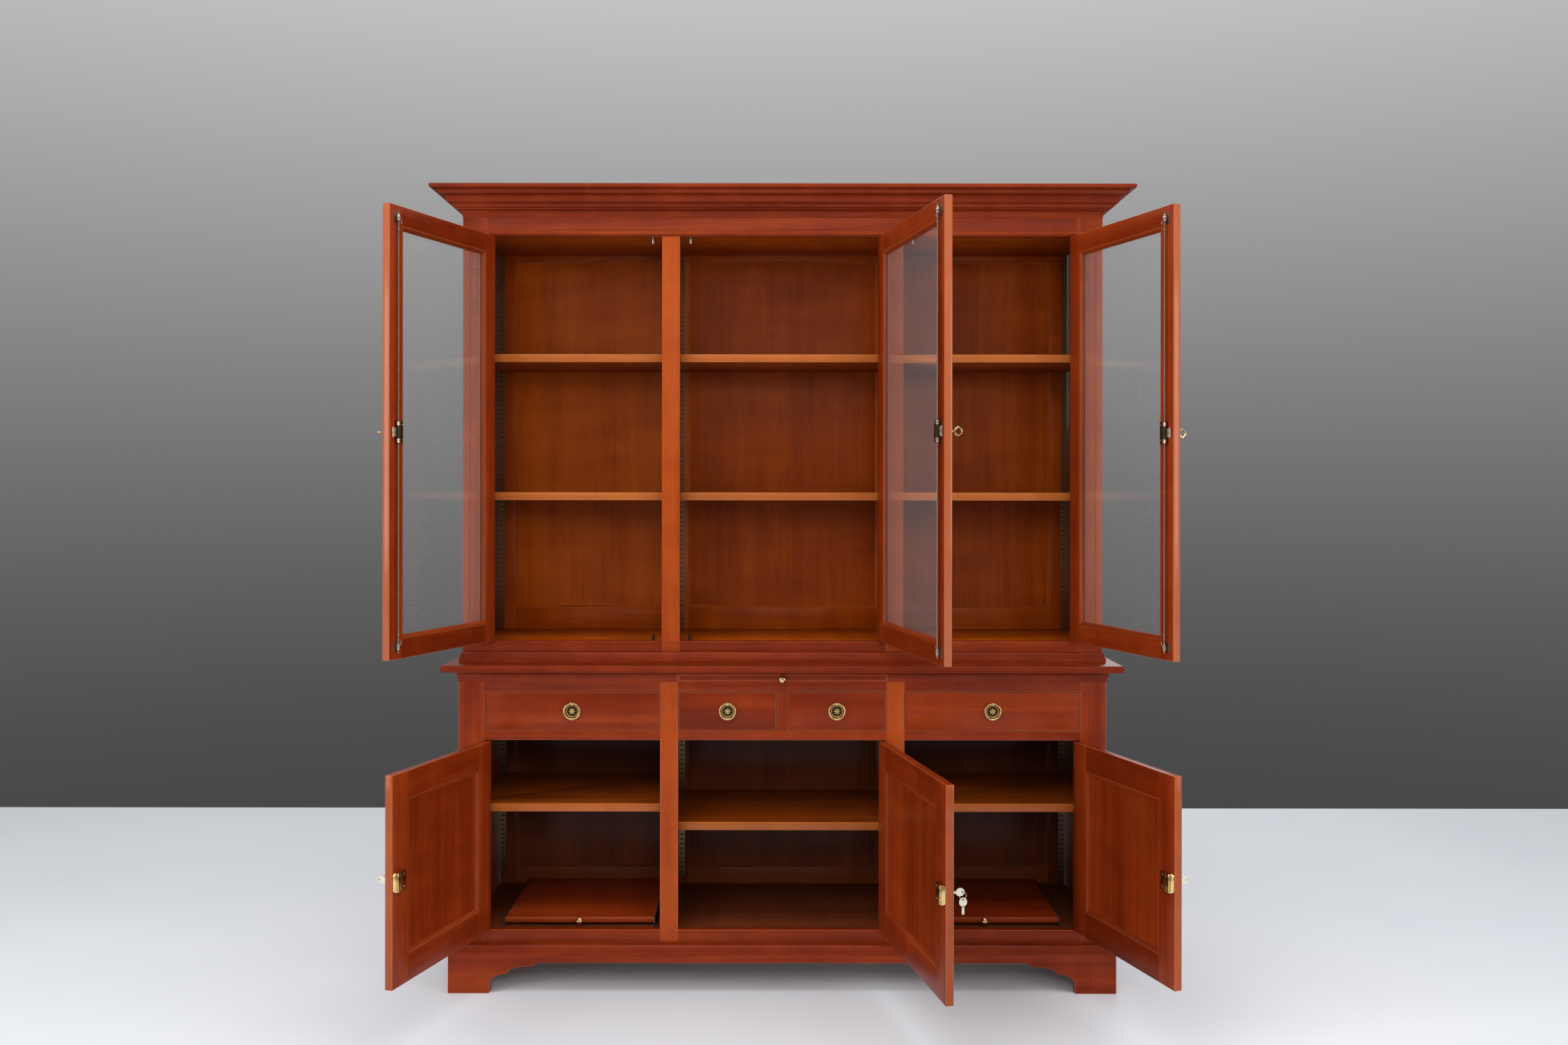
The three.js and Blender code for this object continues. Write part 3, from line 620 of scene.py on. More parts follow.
def case_board(node, look, slot="mahogany", axis="x", boards=(), cuts=(), radius=1.0 * MM, wear=0.0):
    bench = Bench()
    bench.take(measured(node, radius=radius, cuts=cuts), look, axis, boards, wear)
    return bench.make(node + "_finished", "cabinet", slot, [node])


def posts_painted_highlight(face):
    """The posts between the bays and the outer posts above take the paler copy of the mahogany: painted highlight.
    """
    x, _, z = face.calc_center_median()
    between = BAY_CENTRE < abs(x) < BAY_SIDE and z < UPPER_OPENING[1]
    return PAINTED_HIGHLIGHT_MAHOGANY if between or (abs(x) > BAY_OUTER and UPPER_OPENING[0] < z < UPPER_OPENING[1]) else MAHOGANY


case_board("lower_face_frame", posts_painted_highlight, boards=[DRAWER_POST, *strips_of("x", *POSTS)],
           cuts=POST_CUTS + [("z", DRAWER_OPENING[0]), ("z", DRAWER_OPENING[1])])
case_board("upper_face_frame", posts_painted_highlight, boards=[*UPPER_RAILS, *strips_of("x", *POSTS)],
           cuts=POST_CUTS + [("z", UPPER_OPENING[0]), ("z", UPPER_OPENING[1])])
for side in ("left", "right"):
    case_board(f"lower_side_{side}", MAHOGANY, axis="z")
    case_board(f"upper_side_{side}", MAHOGANY, axis="z")
    # The lower dividers take the darker copy: painted shade.
    case_board(f"lower_divider_{side}", SHADED, "interior_wood", "z")
    case_board(f"upper_divider_{side}", GOLDEN, "interior_wood", "z")
# The lower floor and drawer deck take the darker copy too: painted shade.
case_board("lower_floor", SHADED, "interior_wood")
case_board("drawer_deck", SHADED, "interior_wood")
case_board("upper_top", GOLDEN, "interior_wood")


def shelf_edge(face):
    """A shelf's front face takes part of the pale edge colour, so it is paler than the rest of the shelf."""
    return 0.45 if face.normal.y < -0.9 else 0.0


for name in sorted(NODES):
    if "_shelf_" in name:
        case_board(name, SHELF_WOOD, "interior_wood", radius=1.4 * MM, wear=shelf_edge)
print("boards so far:", Bench.boards)

# %% [markdown]
# ## Mouldings
# The cornice, the waist and the base are mouldings: one profile, run along the front, mitred at the
# corners and returned down both ends. The CAD profile has few facets because a physics engine has
# to carry it. We keep its corners and put true hollows, beads and quarter rounds between them.

# %% Cornice, waist top and upper base
CORNICE_LOW, CORNICE_HIGH, CORNICE_OUT = 1909.3, 1980.0, 68.4
UPPER_Y = UPPER_FRONT


def profile(points):
    """Millimetres on the drawing to metres on the bench."""
    return [(out * MM, up * MM) for out, up in points]


def cornice_profile():
    low, high, out = CORNICE_LOW, CORNICE_HIGH - CORNICE_LOW, CORNICE_OUT

    def p(share):
        return share * out

    def z(share):
        return low + share * high

    return profile([
        (-62, low), (1, low), *curve(1, low + 1.5, p(0.20), z(0.24), True), (p(0.22), z(0.245)),
        (p(0.22), z(0.285)), *curve(p(0.24), z(0.29), p(0.34), z(0.38), False, 5), (p(0.36), z(0.40)),
        (p(0.36), z(0.43)), (p(0.47), z(0.44)), *curve(p(0.47), z(0.45), p(0.505), z(0.49), False, 4),
        (p(0.51), z(0.63)), (p(0.535), z(0.64)), (p(0.535), z(0.665)),
        *curve(p(0.54), z(0.67), p(0.78), z(0.82), False), (p(0.80), z(0.825)), (p(0.80), z(0.85)),
        (p(0.95), z(0.855)), *curve(p(0.95), z(0.86), p(1), z(0.90), False, 4), (p(1), z(0.97)),
        (p(0.985), z(1)), (-62, z(1))])


bench = Bench()
SIDE_GRAIN = [((("x", -FAR, -HALF_WIDTH - 0.3 * MM),), "y"), ((("x", HALF_WIDTH + 0.3 * MM, FAR),), "y")]
bench.take(case_run(cornice_profile(), UPPER_Y), MAHOGANY, "x", SIDE_GRAIN)
bench.take(board(-HALF_WIDTH + 61 * MM, HALF_WIDTH - 61 * MM, UPPER_Y + 61 * MM, REAR,
                 1911.3 * MM, 1930.3 * MM), BARE_WOOD, "x")
bench.make("cornice_moulding", "cabinet", "mahogany", ["cornice"])

WAIST_LOW, WAIST_HIGH = 784.5, 802.4
COVE = [(0.3, 759.0), (1.4, 759.0), *curve(1.4, 760.5, 9.6, 780.0, True), (11.3, 781.0)]
waist = profile([(-92, WAIST_LOW), (30.5, WAIST_LOW), *curve(31.5, WAIST_LOW + 0.3, 34.5, 788, False, 4),
                 (34.8, 789), *curve(36.3, 790.5, 35.2, 799, True,
                                     2), *curve(34.8, 799.2, 31.5, WAIST_HIGH, True, 4),
                 (-92, WAIST_HIGH)])
SLIDE_HALF = BAY_CENTRE + 5 * MM
bench = Bench()
bench.take(case_run(waist, FRONT), MAHOGANY, "x", SIDE_GRAIN)
bench.take(board(-HALF_WIDTH + 91 * MM, HALF_WIDTH - 91 * MM, FRONT + 91 * MM, REAR, WAIST_LOW * MM,
                 WAIST_HIGH * MM), MAHOGANY, "x")
cove = profile([*COVE, (11.3, 784.6), (0.3, 784.6)])
for side in (-1, 1):
    rear_end = [(side * (HALF_WIDTH + p), REAR, z) for p, z in cove]
    corner = [(side * (HALF_WIDTH + p), FRONT - p, z) for p, z in cove]
    inner_end = [(side * (SLIDE_HALF + MM), FRONT - p, z) for p, z in cove]
    bench.take(sweep([rear_end, corner, inner_end], False), MAHOGANY, "x", SIDE_GRAIN)
bench.make("waist_moulding", "cabinet", "mahogany", ["waist_top"])

upper_base = profile([(-70, 802.7), (7.5, 802.7), (7.5, 813.5), (7.0, 814.5), (5.2, 815), (4.8, 817),
                      *curve(4.6, 817.5, 0.2, 826.6, True), (-70, 826.9)])
bench = Bench()
bench.take(case_run(upper_base, UPPER_Y), MAHOGANY, "x", SIDE_GRAIN)
floor_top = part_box("upper_floor")[1].z
bench.take(board(-776.7 * MM, 776.7 * MM, UPPER_Y + 21.3 * MM, FRONT + 382.7 * MM, 825.9 * MM, floor_top),
           GOLDEN, "x")
bench.make("upper_floor_and_base", "cabinet", "interior_wood", ["upper_floor"])
print("cornice, waist and upper base;", Bench.boards, "boards")

# %% Plinth with bracket feet
PLINTH_OUT, PLINTH_TOP, BASE_TOP, PLINTH_BOARD = 20.7, 93.3, 119.3, 21.0


def foot_edge():
    """A bracket foot's lower edge, from the outer corner inwards: toe, two scrolls, then the apron."""
    return [(0, 0), (101, 0), (101, 21.7), *curve(101.5, 22.5, 142, 47.5, True), (144.6, 48.2), (146.2, 50.5),
            *curve(146.5, 51.5, 205, 65.5, True), *curve(209, 66, 229, 74.5, True, 5), (233, 74.5)]


def bracket_outline(start, end):
    left = [(start + a, z) for a, z in foot_edge()]
    right = [(end - a, z) for a, z in foot_edge()][::-1]
    return profile([*left, *right, (end, PLINTH_TOP + 1), (start, PLINTH_TOP + 1)])


half, depth = HALF_WIDTH / MM + PLINTH_OUT, (REAR - FRONT) / MM
bench = Bench()
front_board = cutout(bracket_outline(-half, half), PLINTH_BOARD * MM, FRONT - PLINTH_OUT * MM)
feet = [((("x", -FAR, (-half + 125) * MM),), "x"), ((("x", (half - 125) * MM, FAR),), "x")]
bench.take(ease(front_board, 0.9 * MM), MAHOGANY, "x", feet)
for side in (-1, 1):
    outline = bracket_outline(-PLINTH_OUT, depth)
    outline = [(FRONT + max(a, (PLINTH_BOARD - PLINTH_OUT) * MM), z) for a, z in outline]
    side_board = cutout(outline, -side * PLINTH_BOARD * MM, side * half * MM, flat="x")
    bench.take(ease(side_board, 0.9 * MM), MAHOGANY, "y")
    inner = (half - PLINTH_BOARD + 1) * MM
    for y0, y1 in ((-PLINTH_OUT + 20, -PLINTH_OUT + 86), (depth - 66, depth - 0.5)):
        xs = sorted((side * inner, side * (inner - 66 * MM)))
        bench.take(board(*xs, FRONT + y0 * MM, FRONT + y1 * MM, 0, (PLINTH_TOP + 1) * MM), BARE_WOOD, "z")
bench.take(board(-inner, inner, REAR - 21 * MM, REAR - MM, 74.5 * MM, 94.3 * MM), BARE_WOOD, "x")
base = profile([(-63.2, PLINTH_TOP), (20.7, PLINTH_TOP), (20.7, 99.5), (20.0, 101), (18.2, 101.4),
                (17.8, 103),
                *curve(17.6, 103.5, 3.2, 117.5, True), (2.2, 118), (2.2, BASE_TOP), (-63.2, BASE_TOP)])
bench.take(case_run(base, FRONT), MAHOGANY, "x", SIDE_GRAIN)
bench.make("plinth_and_feet", "cabinet", "mahogany", ["plinth"])
print("plinth;", Bench.boards, "boards")

# %% [markdown]
# ## Framed backs
# Each case has a framed back: upright boards behind the posts, rails above and below, and thin
# panels let in a few millimetres, with a small moulding round each. The inside is polished golden
# brown, and painted darker in the lower case as painted shade; the back of the back was never meant
# to be seen and is left dull.

# %% Framed backs
BACK_EDGES = (-776.7, -731.0, -326.0, -259.0, 259.0, 326.0, 731.0, 776.7)


def framed_back(node, rails, inside):
    def inside_or_out(face):
        return BARE_WOOD if face.normal.y > 0.5 else inside

    (x0, y0, z0), (x1, y1, z1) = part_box(node)
    bottom, top = rails[0] * MM, rails[1] * MM
    edges = [edge * MM for edge in BACK_EDGES]
    bench = Bench()
    for left, right in zip(edges[0::2], edges[1::2]):
        bench.take(board(left, right, y0, y1, z0, z1, 0.6 * MM), inside_or_out, "z")
    for left, right in zip(edges[1:-1:2], edges[2::2]):
        for low, high in ((z0, bottom), (top, z1)):
            bench.take(board(left, right, y0 + 0.1 * MM, y1, low, high, 0.6 * MM), inside_or_out, "x")
        bench.take(block(left, right, y0 + 4 * MM, y1 - 2.5 * MM, bottom, top), inside_or_out, "z")
        bead = profile([(0, 0.0), (0, 4.2), (1.4, 4.0), (2.2, 3.0), (3.2, 2.4), (4.6, 0.9), (6.0, 0.5),
                        (6.2, 0.0)])
        opening = (left, right, bottom, top)
        bench.take(frame_run(opening, bead, y0 + 4 * MM), inside, "z", frame_boards(opening))
    bench.make(node + "_framed", "cabinet", "interior_wood", [node])


framed_back("upper_back", (908.0, 1857.0), GOLDEN)
# The lower back's inside takes the darker copy: painted shade.
framed_back("lower_back", (190.0, 575.0), SHADED)
print("2 framed backs;", Bench.boards, "boards")

# %% [markdown]
# ## Drawers
# A drawer front is mahogany with a fine raised bead round its edge, called a cock bead, that hides
# wear where the drawer meets its opening. Behind the front the box is plain pale wood. The model
# holds both as one solid, so the finish is chosen face by face.

# %% Drawers, trays and the writing slide
DRAWERS = ("left", "centre_left", "centre_right", "right")
DRAWER_FRONT_DEPTH = 19.05 * MM


def drawer_look(face):
    return MAHOGANY if face.calc_center_median().y < FRONT + DRAWER_FRONT_DEPTH else DRAWER_WOOD


for name in DRAWERS:
    node = f"drawer_{name}"
    (x0, y0, z0), (x1, y1, z1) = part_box(node)
    z0 = z1 - (DRAWER_OPENING[1] - DRAWER_OPENING[0]) + 2 * MM
    bench = Bench()
    bench.take(measured(node, radius=0.8 * MM, cuts=[("y", FRONT + DRAWER_FRONT_DEPTH)]), drawer_look, "x",
               [((("y", FRONT + 30 * MM, FAR), ("x", -FAR, x0 + 15.5 * MM)), "y"),
                ((("y", FRONT + 30 * MM, FAR), ("x", x1 - 15.5 * MM, FAR)), "y")])
    bead = profile([(0.2, -1), (0.2, 0.9), (0.7, 1.5), (1.5, 1.7), (2.3, 1.5), (2.8, 0.9), (2.9, -1)])
    front = (x0, x1, z0, z1)
    bench.take(frame_run(front, bead, FRONT), MAHOGANY, "z", frame_boards(front), wear=0.25)
    bench.make(node + "_finished", f"drawer_{name}", "mahogany", [node])

for side in ("left", "right"):
    node = f"pull_out_tray_{side}"
    bench = Bench()
    bench.take(measured(node, radius=1.2 * MM), MAHOGANY, "x")
    bench.make(node + "_finished", node, "mahogany", [node])

slide_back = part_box("writing_slide")[1].y
bench = Bench()
cove = profile([(p, z + 0.5) for p, z in COVE] + [(0.3, 781.5)])
ends = [[(x, FRONT - p, z) for p, z in cove] for x in (-SLIDE_HALF, SLIDE_HALF)]
bench.take(sweep(ends, False), MAHOGANY, "x")
bench.take(board(-BAY_CENTRE + 1.2 * MM, BAY_CENTRE - 1.2 * MM, FRONT - 3.4 * MM, slide_back, 762.0 * MM,
                 777.0 * MM, 1.0 * MM), MAHOGANY, "x")
bench.make("writing_slide_finished", "writing_slide", "mahogany", ["writing_slide"])
print("4 drawers, 2 trays, 1 slide;", Bench.boards, "boards")

# %% [markdown]
# ## Doors, built shut and hung open
# A door is made flat and closed: x runs from the hinge to the free edge, y from the outer face
# inwards, z up from its bottom edge. Its matrix turns it about the hinge to where it stands open.
# The left door opens one way and the other two the other way, so their matrices also mirror x.
# Stiles run the full height, rails fit between them, and fine mouldings hold the glass and panel.

# %% Where the doors hang
class Door:
    """One door's matrix and its size, read from the model and its hinge."""

    def __init__(self, case, bay):
        self.case, self.bay, self.body = case, bay, f"{case}_door_{bay}"
        hinge = JOINTS[self.body + "_hinge"]
        self.side = 1 if bay == "left" else -1
        angle = hinge["axis"][2] * abs(math.radians(hinge["range_deg"][0]))
        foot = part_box(self.body)[0].z
        x, y, _ = hinge["pos_m"]
        self.place = (Matrix.Translation((x, y, foot)) @ Matrix.Rotation(angle, 4, "Z")
                      @ Matrix.Diagonal((self.side, 1, 1, 1)))
        self.back = self.place.inverted()
        corners = [self.back @ v.co for v in NODES[self.body].data.vertices]
        self.width = max(c.x for c in corners)
        self.height = max(c.z for c in corners)
        self.thickness = 18.0 * MM


DOORS = [Door(case, bay) for case in ("upper", "lower") for bay in BAYS]
for door in DOORS:
    print(door.body, round(door.width, 4), round(door.height, 4))

# %% Glazed doors
UPPER_STILE, LOWER_STILE = 44.8 * MM, 61.8 * MM


def door_boards(door, stile):
    return strips_of("x", (-MM, stile), (door.width - stile, FAR))


def door_cuts(door, stile):
    return [("x", stile), ("x", door.width - stile)]


def free_edge(door, face):
    return face.calc_center_median().x > door.width - 1.5 * MM


def edge_look(door):
    """A glazed door's free edge takes the paler copy of the mahogany: painted highlight."""
    def look(face):
        return PAINTED_HIGHLIGHT_MAHOGANY if door.case == "upper" and free_edge(door, face) else MAHOGANY
    return look


def glazed_door(door):
    stile, deep = UPPER_STILE, door.thickness
    bench = Bench(door.place)
    # The free edge gets much of the pale edge colour: painted highlight as well as wear.
    bench.take(measured(door.body, door.back, 1.2 * MM, door_cuts(door, stile)), edge_look(door), "x",
               door_boards(door, stile), lambda face: 0.9 if free_edge(door, face) else 0.0)
    sight = (stile, door.width - stile, stile, door.height - stile)
    outer = profile([(0.0, 0.4), (0.0, -5.4), (1.0, -1.2), (2.2, -0.6), (3.6, -1.6), (5.2, -4.0),
                     (6.0, -6.6), (0.0, -6.8)])
    bench.take(frame_run(sight, [(a, h) for a, h in outer[1:]], 0.0), MAHOGANY, "z", frame_boards(sight), 0.3)
    inner = profile([(0.0, -0.4), (1.2, 0.5), (3.0, 0.6), (5.0, -0.6), (7.4, -3.4), (8.6, -6.4), (0.0, -6.6)])
    bench.take(frame_run(sight, inner, deep, outwards=1), MAHOGANY, "z", frame_boards(sight), 0.15)
    bench.make(door.body + "_frame", door.body, "mahogany", [door.body])


def panel_door(door):
    stile, deep = LOWER_STILE, door.thickness
    bench = Bench(door.place)
    inside = (("x", stile + 0.5 * MM, door.width - stile - 0.5 * MM),
              ("z", stile + 0.5 * MM, door.height - stile - 0.5 * MM))
    boards = [(inside, "z"), *door_boards(door, stile)]
    cuts = door_cuts(door, stile) + [("z", stile), ("z", door.height - stile)]
    bench.take(measured(door.body, door.back, 1.0 * MM, cuts), edge_look(door), "x", boards,
               lambda face: 0.5 if free_edge(door, face) else 0.0)
    sight = (stile, door.width - stile, stile, door.height - stile)
    ogee = profile([(-0.2, -5.6), (-0.2, -0.3), (1.0, 0.1), (2.2, -0.2), (3.4, -1.0), (4.2, -2.4),
                    (5.4, -3.6),
                    (7.2, -4.3), (8.4, -4.8), (8.6, -5.6)])
    bench.take(frame_run(sight, ogee, 0.0), MAHOGANY, "z", frame_boards(sight), 0.15)
    bench.take(frame_run(sight, ogee, deep, outwards=1), MAHOGANY, "z", frame_boards(sight), 0.15)
    bench.make(door.body + "_frame", door.body, "mahogany", [door.body])


for door in DOORS:
    glazed_door(door) if door.case == "upper" else panel_door(door)
for bay in BAYS:
    NODES[f"glass_{bay}"].data.materials.clear()
    NODES[f"glass_{bay}"].data.materials.append(GLASS)
print("6 doors;", Bench.boards, "boards")

# %% [markdown]
# ## Geometry Nodes for what repeats
# Slotted strips, beads, screws and carved leaves are one small shape many times over. A Geometry
# Nodes tree states the rule once, with named sizes, and a few points say where. Recipe keeps the
# tree-making short: node() adds a node. grown() runs a tree on some points and hands back a plain
# mesh, which is laid on a bench like any other work and rides on that bench's body.

# %% A recipe for repeated work
class Recipe:
    """A Geometry Nodes tree with named sizes."""

    def __init__(self, name, **sizes):
        self.group = bpy.data.node_groups.new(name, "GeometryNodeTree")
        sockets = self.group.interface.new_socket
        sockets("Geometry", in_out="INPUT", socket_type="NodeSocketGeometry")
        self.names = {}
        for key, value in sizes.items():
            kind = "NodeSocketInt" if isinstance(value, int) else "NodeSocketFloat"
            made = sockets(key.replace("_", " "), in_out="INPUT", socket_type=kind)
            made.default_value = value
            self.names[key] = made.identifier
        self.names["finish"] = sockets("Finish", in_out="INPUT", socket_type="NodeSocketMaterial").identifier
        sockets("Geometry", in_out="OUTPUT", socket_type="NodeSocketGeometry")
        self.start = self.group.nodes.new("NodeGroupInput")

    def size(self, key):
        return self.start.outputs[key.replace("_", " ")]

    def node(self, kind, settings=None, sockets=None, output=0):
        made = self.group.nodes.new(kind)
        for key, setting in (settings or {}).items():
            setattr(made, key, setting)
        for key, value in (sockets or {}).items():
            for one in value if isinstance(value, list) else [value]:
                if isinstance(one, bpy.types.NodeSocket):
                    self.group.links.new(one, made.inputs[key])
                else:
                    made.inputs[key].default_value = one
        return made.outputs[output]

    def maths(self, operation, *terms):
        return self.node("ShaderNodeMath", {"operation": operation}, dict(enumerate(terms)))

    def vector(self, x=0.0, y=0.0, z=0.0):
        return self.node("ShaderNodeCombineXYZ", {}, {0: x, 1: y, 2: z})

    def named(self, name, kind="FLOAT_VECTOR"):
        return self.node("GeometryNodeInputNamedAttribute", {"data_type": kind}, {"Name": name})

    def block(self, size, place):
        cube = self.node("GeometryNodeMeshCube", {}, {"Size": size})
        return self.node("GeometryNodeTransform", {}, {"Geometry": cube, "Translation": place})

    def done(self, geometry):
        plain = self.node("GeometryNodeRealizeInstances", {}, {"Geometry": geometry})
        painted = self.node("GeometryNodeSetMaterial", {},
                            {"Geometry": plain, "Material": self.size("Finish")})
        end = self.group.nodes.new("NodeGroupOutput")
        self.group.links.new(painted, end.inputs[0])
        return self


def grown(recipe, source, finish, **sizes):
    """Runs a recipe on a source mesh and gives back plain faces for the bench."""
    carrier = bpy.data.objects.new("source", source)
    bpy.context.scene.collection.objects.link(carrier)
    modifier = carrier.modifiers.new("recipe", "NODES")
    modifier.node_group = recipe.group
    for key, value in {"finish": finish, **sizes}.items():
        modifier[recipe.names[key]] = value
    drawn = carrier.evaluated_get(bpy.context.evaluated_depsgraph_get())
    mesh = bpy.data.meshes.new_from_object(drawn)
    carrier.modifiers.remove(modifier)
    bpy.data.objects.remove(carrier)
    bm = bmesh.new()
    bm.from_mesh(mesh)
    bpy.data.meshes.remove(mesh)
    return bm


def points_mesh(points, edges=(), **vectors):
    """Bare points, or lines between them, with a number or vector kept at each point."""
    mesh = bpy.data.meshes.new("points")
    mesh.from_pydata([Vector(p) for p in points], list(edges), [])
    for key, values in vectors.items():
        if isinstance(values[0], (int, float)):
            mesh.attributes.new(key, "FLOAT", "POINT").data.foreach_set("value", values)
        else:
            flat = [number for value in values for number in value]
            mesh.attributes.new(key, "FLOAT_VECTOR", "POINT").data.foreach_set("vector", flat)
    return mesh


print("Recipe, grown and points_mesh are ready")

# %% Petals and screws
def petal_recipe():
    """A ball drawn out to a point, set at every point by that point's turn and size."""
    petal = Recipe("petal", Taper=0.75, Segments=8, Rings=6)
    ball = petal.node("GeometryNodeMeshUVSphere", {}, {"Segments": petal.size("Segments"),
                                                       "Rings": petal.size("Rings"), "Radius": 0.5})
    place = petal.node("GeometryNodeInputPosition")
    x, y, z = [petal.node("ShaderNodeSeparateXYZ", {}, {0: place}, i) for i in range(3)]
    rise = petal.maths("MULTIPLY", petal.maths("ADD", z, 0.5), petal.size("Taper"))
    narrow = petal.maths("SUBTRACT", 1.0, rise)
    pinched = petal.vector(petal.maths("MULTIPLY", x, narrow), petal.maths("MULTIPLY", y, narrow), z)
    leaf = petal.node("GeometryNodeSetPosition", {}, {"Geometry": ball, "Position": pinched})
    return petal.done(petal.node("GeometryNodeInstanceOnPoints", {}, {
        "Points": petal.start.outputs[0], "Instance": leaf, "Rotation": petal.named("turn"),
        "Scale": petal.named("size")}))


def screw_recipe():
    """A round head with a slot cut across it, set at every point by that point's turn."""
    screw = Recipe("screw", Radius=2.2 * MM, Height=0.8 * MM, Slot=0.55 * MM)
    head = screw.node("GeometryNodeMeshCylinder", {}, {"Vertices": 14, "Radius": screw.size("Radius"),
                                                       "Depth": screw.size("Height")})
    across = screw.maths("MULTIPLY", screw.size("Radius"), 3.0)
    cut = screw.block(screw.vector(across, screw.size("Slot"), screw.size("Height")),
                      screw.vector(0.0, 0.0, screw.maths("MULTIPLY", screw.size("Height"), 0.6)))
    slotted = screw.node("GeometryNodeMeshBoolean", {"operation": "DIFFERENCE"},
                         {"Mesh 1": head, "Mesh 2": cut})
    return screw.done(screw.node("GeometryNodeInstanceOnPoints", {}, {
        "Points": screw.start.outputs[0], "Instance": slotted, "Rotation": screw.named("turn")}))


PETAL, SCREW = petal_recipe(), screw_recipe()
draw_screws = random.Random(41)


def screws(bench, spots, finish, radius=2.2, facing=(-90, 0)):
    """Screw heads at some spots; facing says how the head is tipped and turned, in degrees."""
    tip, turn = (math.radians(angle) for angle in facing)
    turns = [(tip, draw_screws.uniform(0, 3.1), turn) for _ in spots]
    bench.take(grown(SCREW, points_mesh(spots, turn=turns), finish, Radius=radius * MM), finish, wear=0.85)


print("petal and screw recipes")

# %% [markdown]
# ## Slotted shelf strips
# The shelves hang on clips in slotted metal strips, let into the corners of every bay. Each strip is
# a shallow channel: two side rails and a web between every pair of slots, one slot each 12.7 mm.
# The recipe takes one line for each strip, resamples it at the slot pitch and sets a web at each
# point; the rails stand at the middle of the line, stretched to its length.

# %% Slotted strips
def strip_recipe():
    strip = Recipe("slotted_strip", Pitch=12.7 * MM, Width=16.0 * MM, Slot_Width=9.2 * MM,
                   Slot_Height=3.2 * MM, Depth=4.2 * MM, Gauge=1.0 * MM)
    lines = strip.start.outputs[0]
    turn = strip.vector(0.0, 0.0, strip.named("turn", "FLOAT"))
    run = strip.node("GeometryNodeMeshToCurve", {}, {"Mesh": lines})
    marks = strip.node("GeometryNodeResampleCurve", {"mode": "LENGTH"},
                       {"Curve": run, "Length": strip.size("Pitch")})
    web_height = strip.maths("SUBTRACT", strip.size("Pitch"), strip.size("Slot_Height"))
    web_size = strip.vector(strip.size("Slot_Width"), strip.size("Gauge"), web_height)
    half_gauge = strip.maths("MULTIPLY", strip.size("Gauge"), 0.5)
    web_y = strip.maths("SUBTRACT", half_gauge, strip.size("Depth"))
    web = strip.block(web_size, strip.vector(0.0, web_y, 0.0))
    webs = strip.node("GeometryNodeInstanceOnPoints", {},
                      {"Points": marks, "Instance": web, "Rotation": turn})
    rail_width = strip.maths("MULTIPLY", strip.maths("SUBTRACT", strip.size("Width"),
                                                     strip.size("Slot_Width")), 0.5)
    rail_x = strip.maths("MULTIPLY", strip.maths("ADD", strip.size("Slot_Width"), rail_width), 0.5)
    rail_y = strip.maths("MULTIPLY", strip.size("Depth"), -0.5)
    rail_size = strip.vector(rail_width, strip.size("Depth"), 1.0)
    rails = [strip.block(rail_size, strip.vector(strip.maths("MULTIPLY", rail_x, s), rail_y, 0.0))
             for s in (-1.0, 1.0)]
    pair = strip.node("GeometryNodeJoinGeometry", {}, {"Geometry": rails})
    middles = strip.node("GeometryNodeMeshToPoints", {"mode": "EDGES"}, {"Mesh": lines})
    tall = strip.vector(1.0, 1.0, strip.named("length", "FLOAT"))
    sides = strip.node("GeometryNodeInstanceOnPoints", {}, {"Points": middles, "Instance": pair,
                                                            "Rotation": turn, "Scale": tall})
    return strip.done(strip.node("GeometryNodeJoinGeometry", {}, {"Geometry": [webs, sides]}))


STRIP_HALF = 8.0
DIVIDER_INNER, WALL = 284.4, 776.7
upper_back_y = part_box("upper_back")[0].y
lower_back_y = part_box("lower_back")[0].y


def strip_lines():
    """Foot, top and facing of every strip: at the back of each bay, and near the front of its sides."""
    lines = []
    upper_side_y, lower_side_y = UPPER_FRONT + 76 * MM, FRONT + 74 * MM
    for side in (-1, 1):
        for low, high, back_y, side_y in ((858.0, 1862.0, upper_back_y, upper_side_y),
                                          (172.0, 610.0, lower_back_y, lower_side_y)):
            for x in (WALL - STRIP_HALF, BAY_SIDE / MM + STRIP_HALF, DIVIDER_INNER - STRIP_HALF):
                lines.append((side * x, back_y, low, high, 0.0))
            lines.append((side * WALL, side_y, low, high, side * math.pi / -2))
            lines.append((side * BAY_SIDE / MM, side_y, low, high, side * math.pi / 2))
            lines.append((side * DIVIDER_INNER, side_y, low, high, side * math.pi / -2))
    return lines


rows = strip_lines()
points, turns, lengths = [], [], []
for x, y, low, high, turn in rows:
    points += [(x * MM, y, low * MM), (x * MM, y, high * MM)]
    turns += [turn, turn]
    lengths += [(high - low + 9) * MM] * 2
source = points_mesh(points, [(2 * i, 2 * i + 1) for i in range(len(rows))], turn=turns, length=lengths)
bench = Bench()
bench.take(grown(strip_recipe(), source, STRIP_METAL), STRIP_METAL, wear=0.7)
for x, y, low, high, turn in rows:
    out = Vector((math.sin(turn), -math.cos(turn), 0)) * 4.3 * MM
    spots = [Vector((x * MM, y, z * MM)) + out for z in (low + 44.5, (low + high) / 2, high - 44.5)]
    screws(bench, spots, STRIP_METAL, 2.6, (90, math.degrees(turn)))
strips = bench.make("slotted_strips", "cabinet", "nickel")
print(len(rows), "strips,", len(strips.data.polygons), "faces")

# %% [markdown]
# ## Locks, rods and keys
# Each glazed door is shut by an old kind of bolt: the key turns a pinion in the lock case and two
# rods run out of the ends of the door into keeps in the case. Most of it is turned or bent work, so
# it is made of profiles spun round an axis and of wires. The small cast guides at the rod ends are
# built up from rings, as the castings imitate turned work.

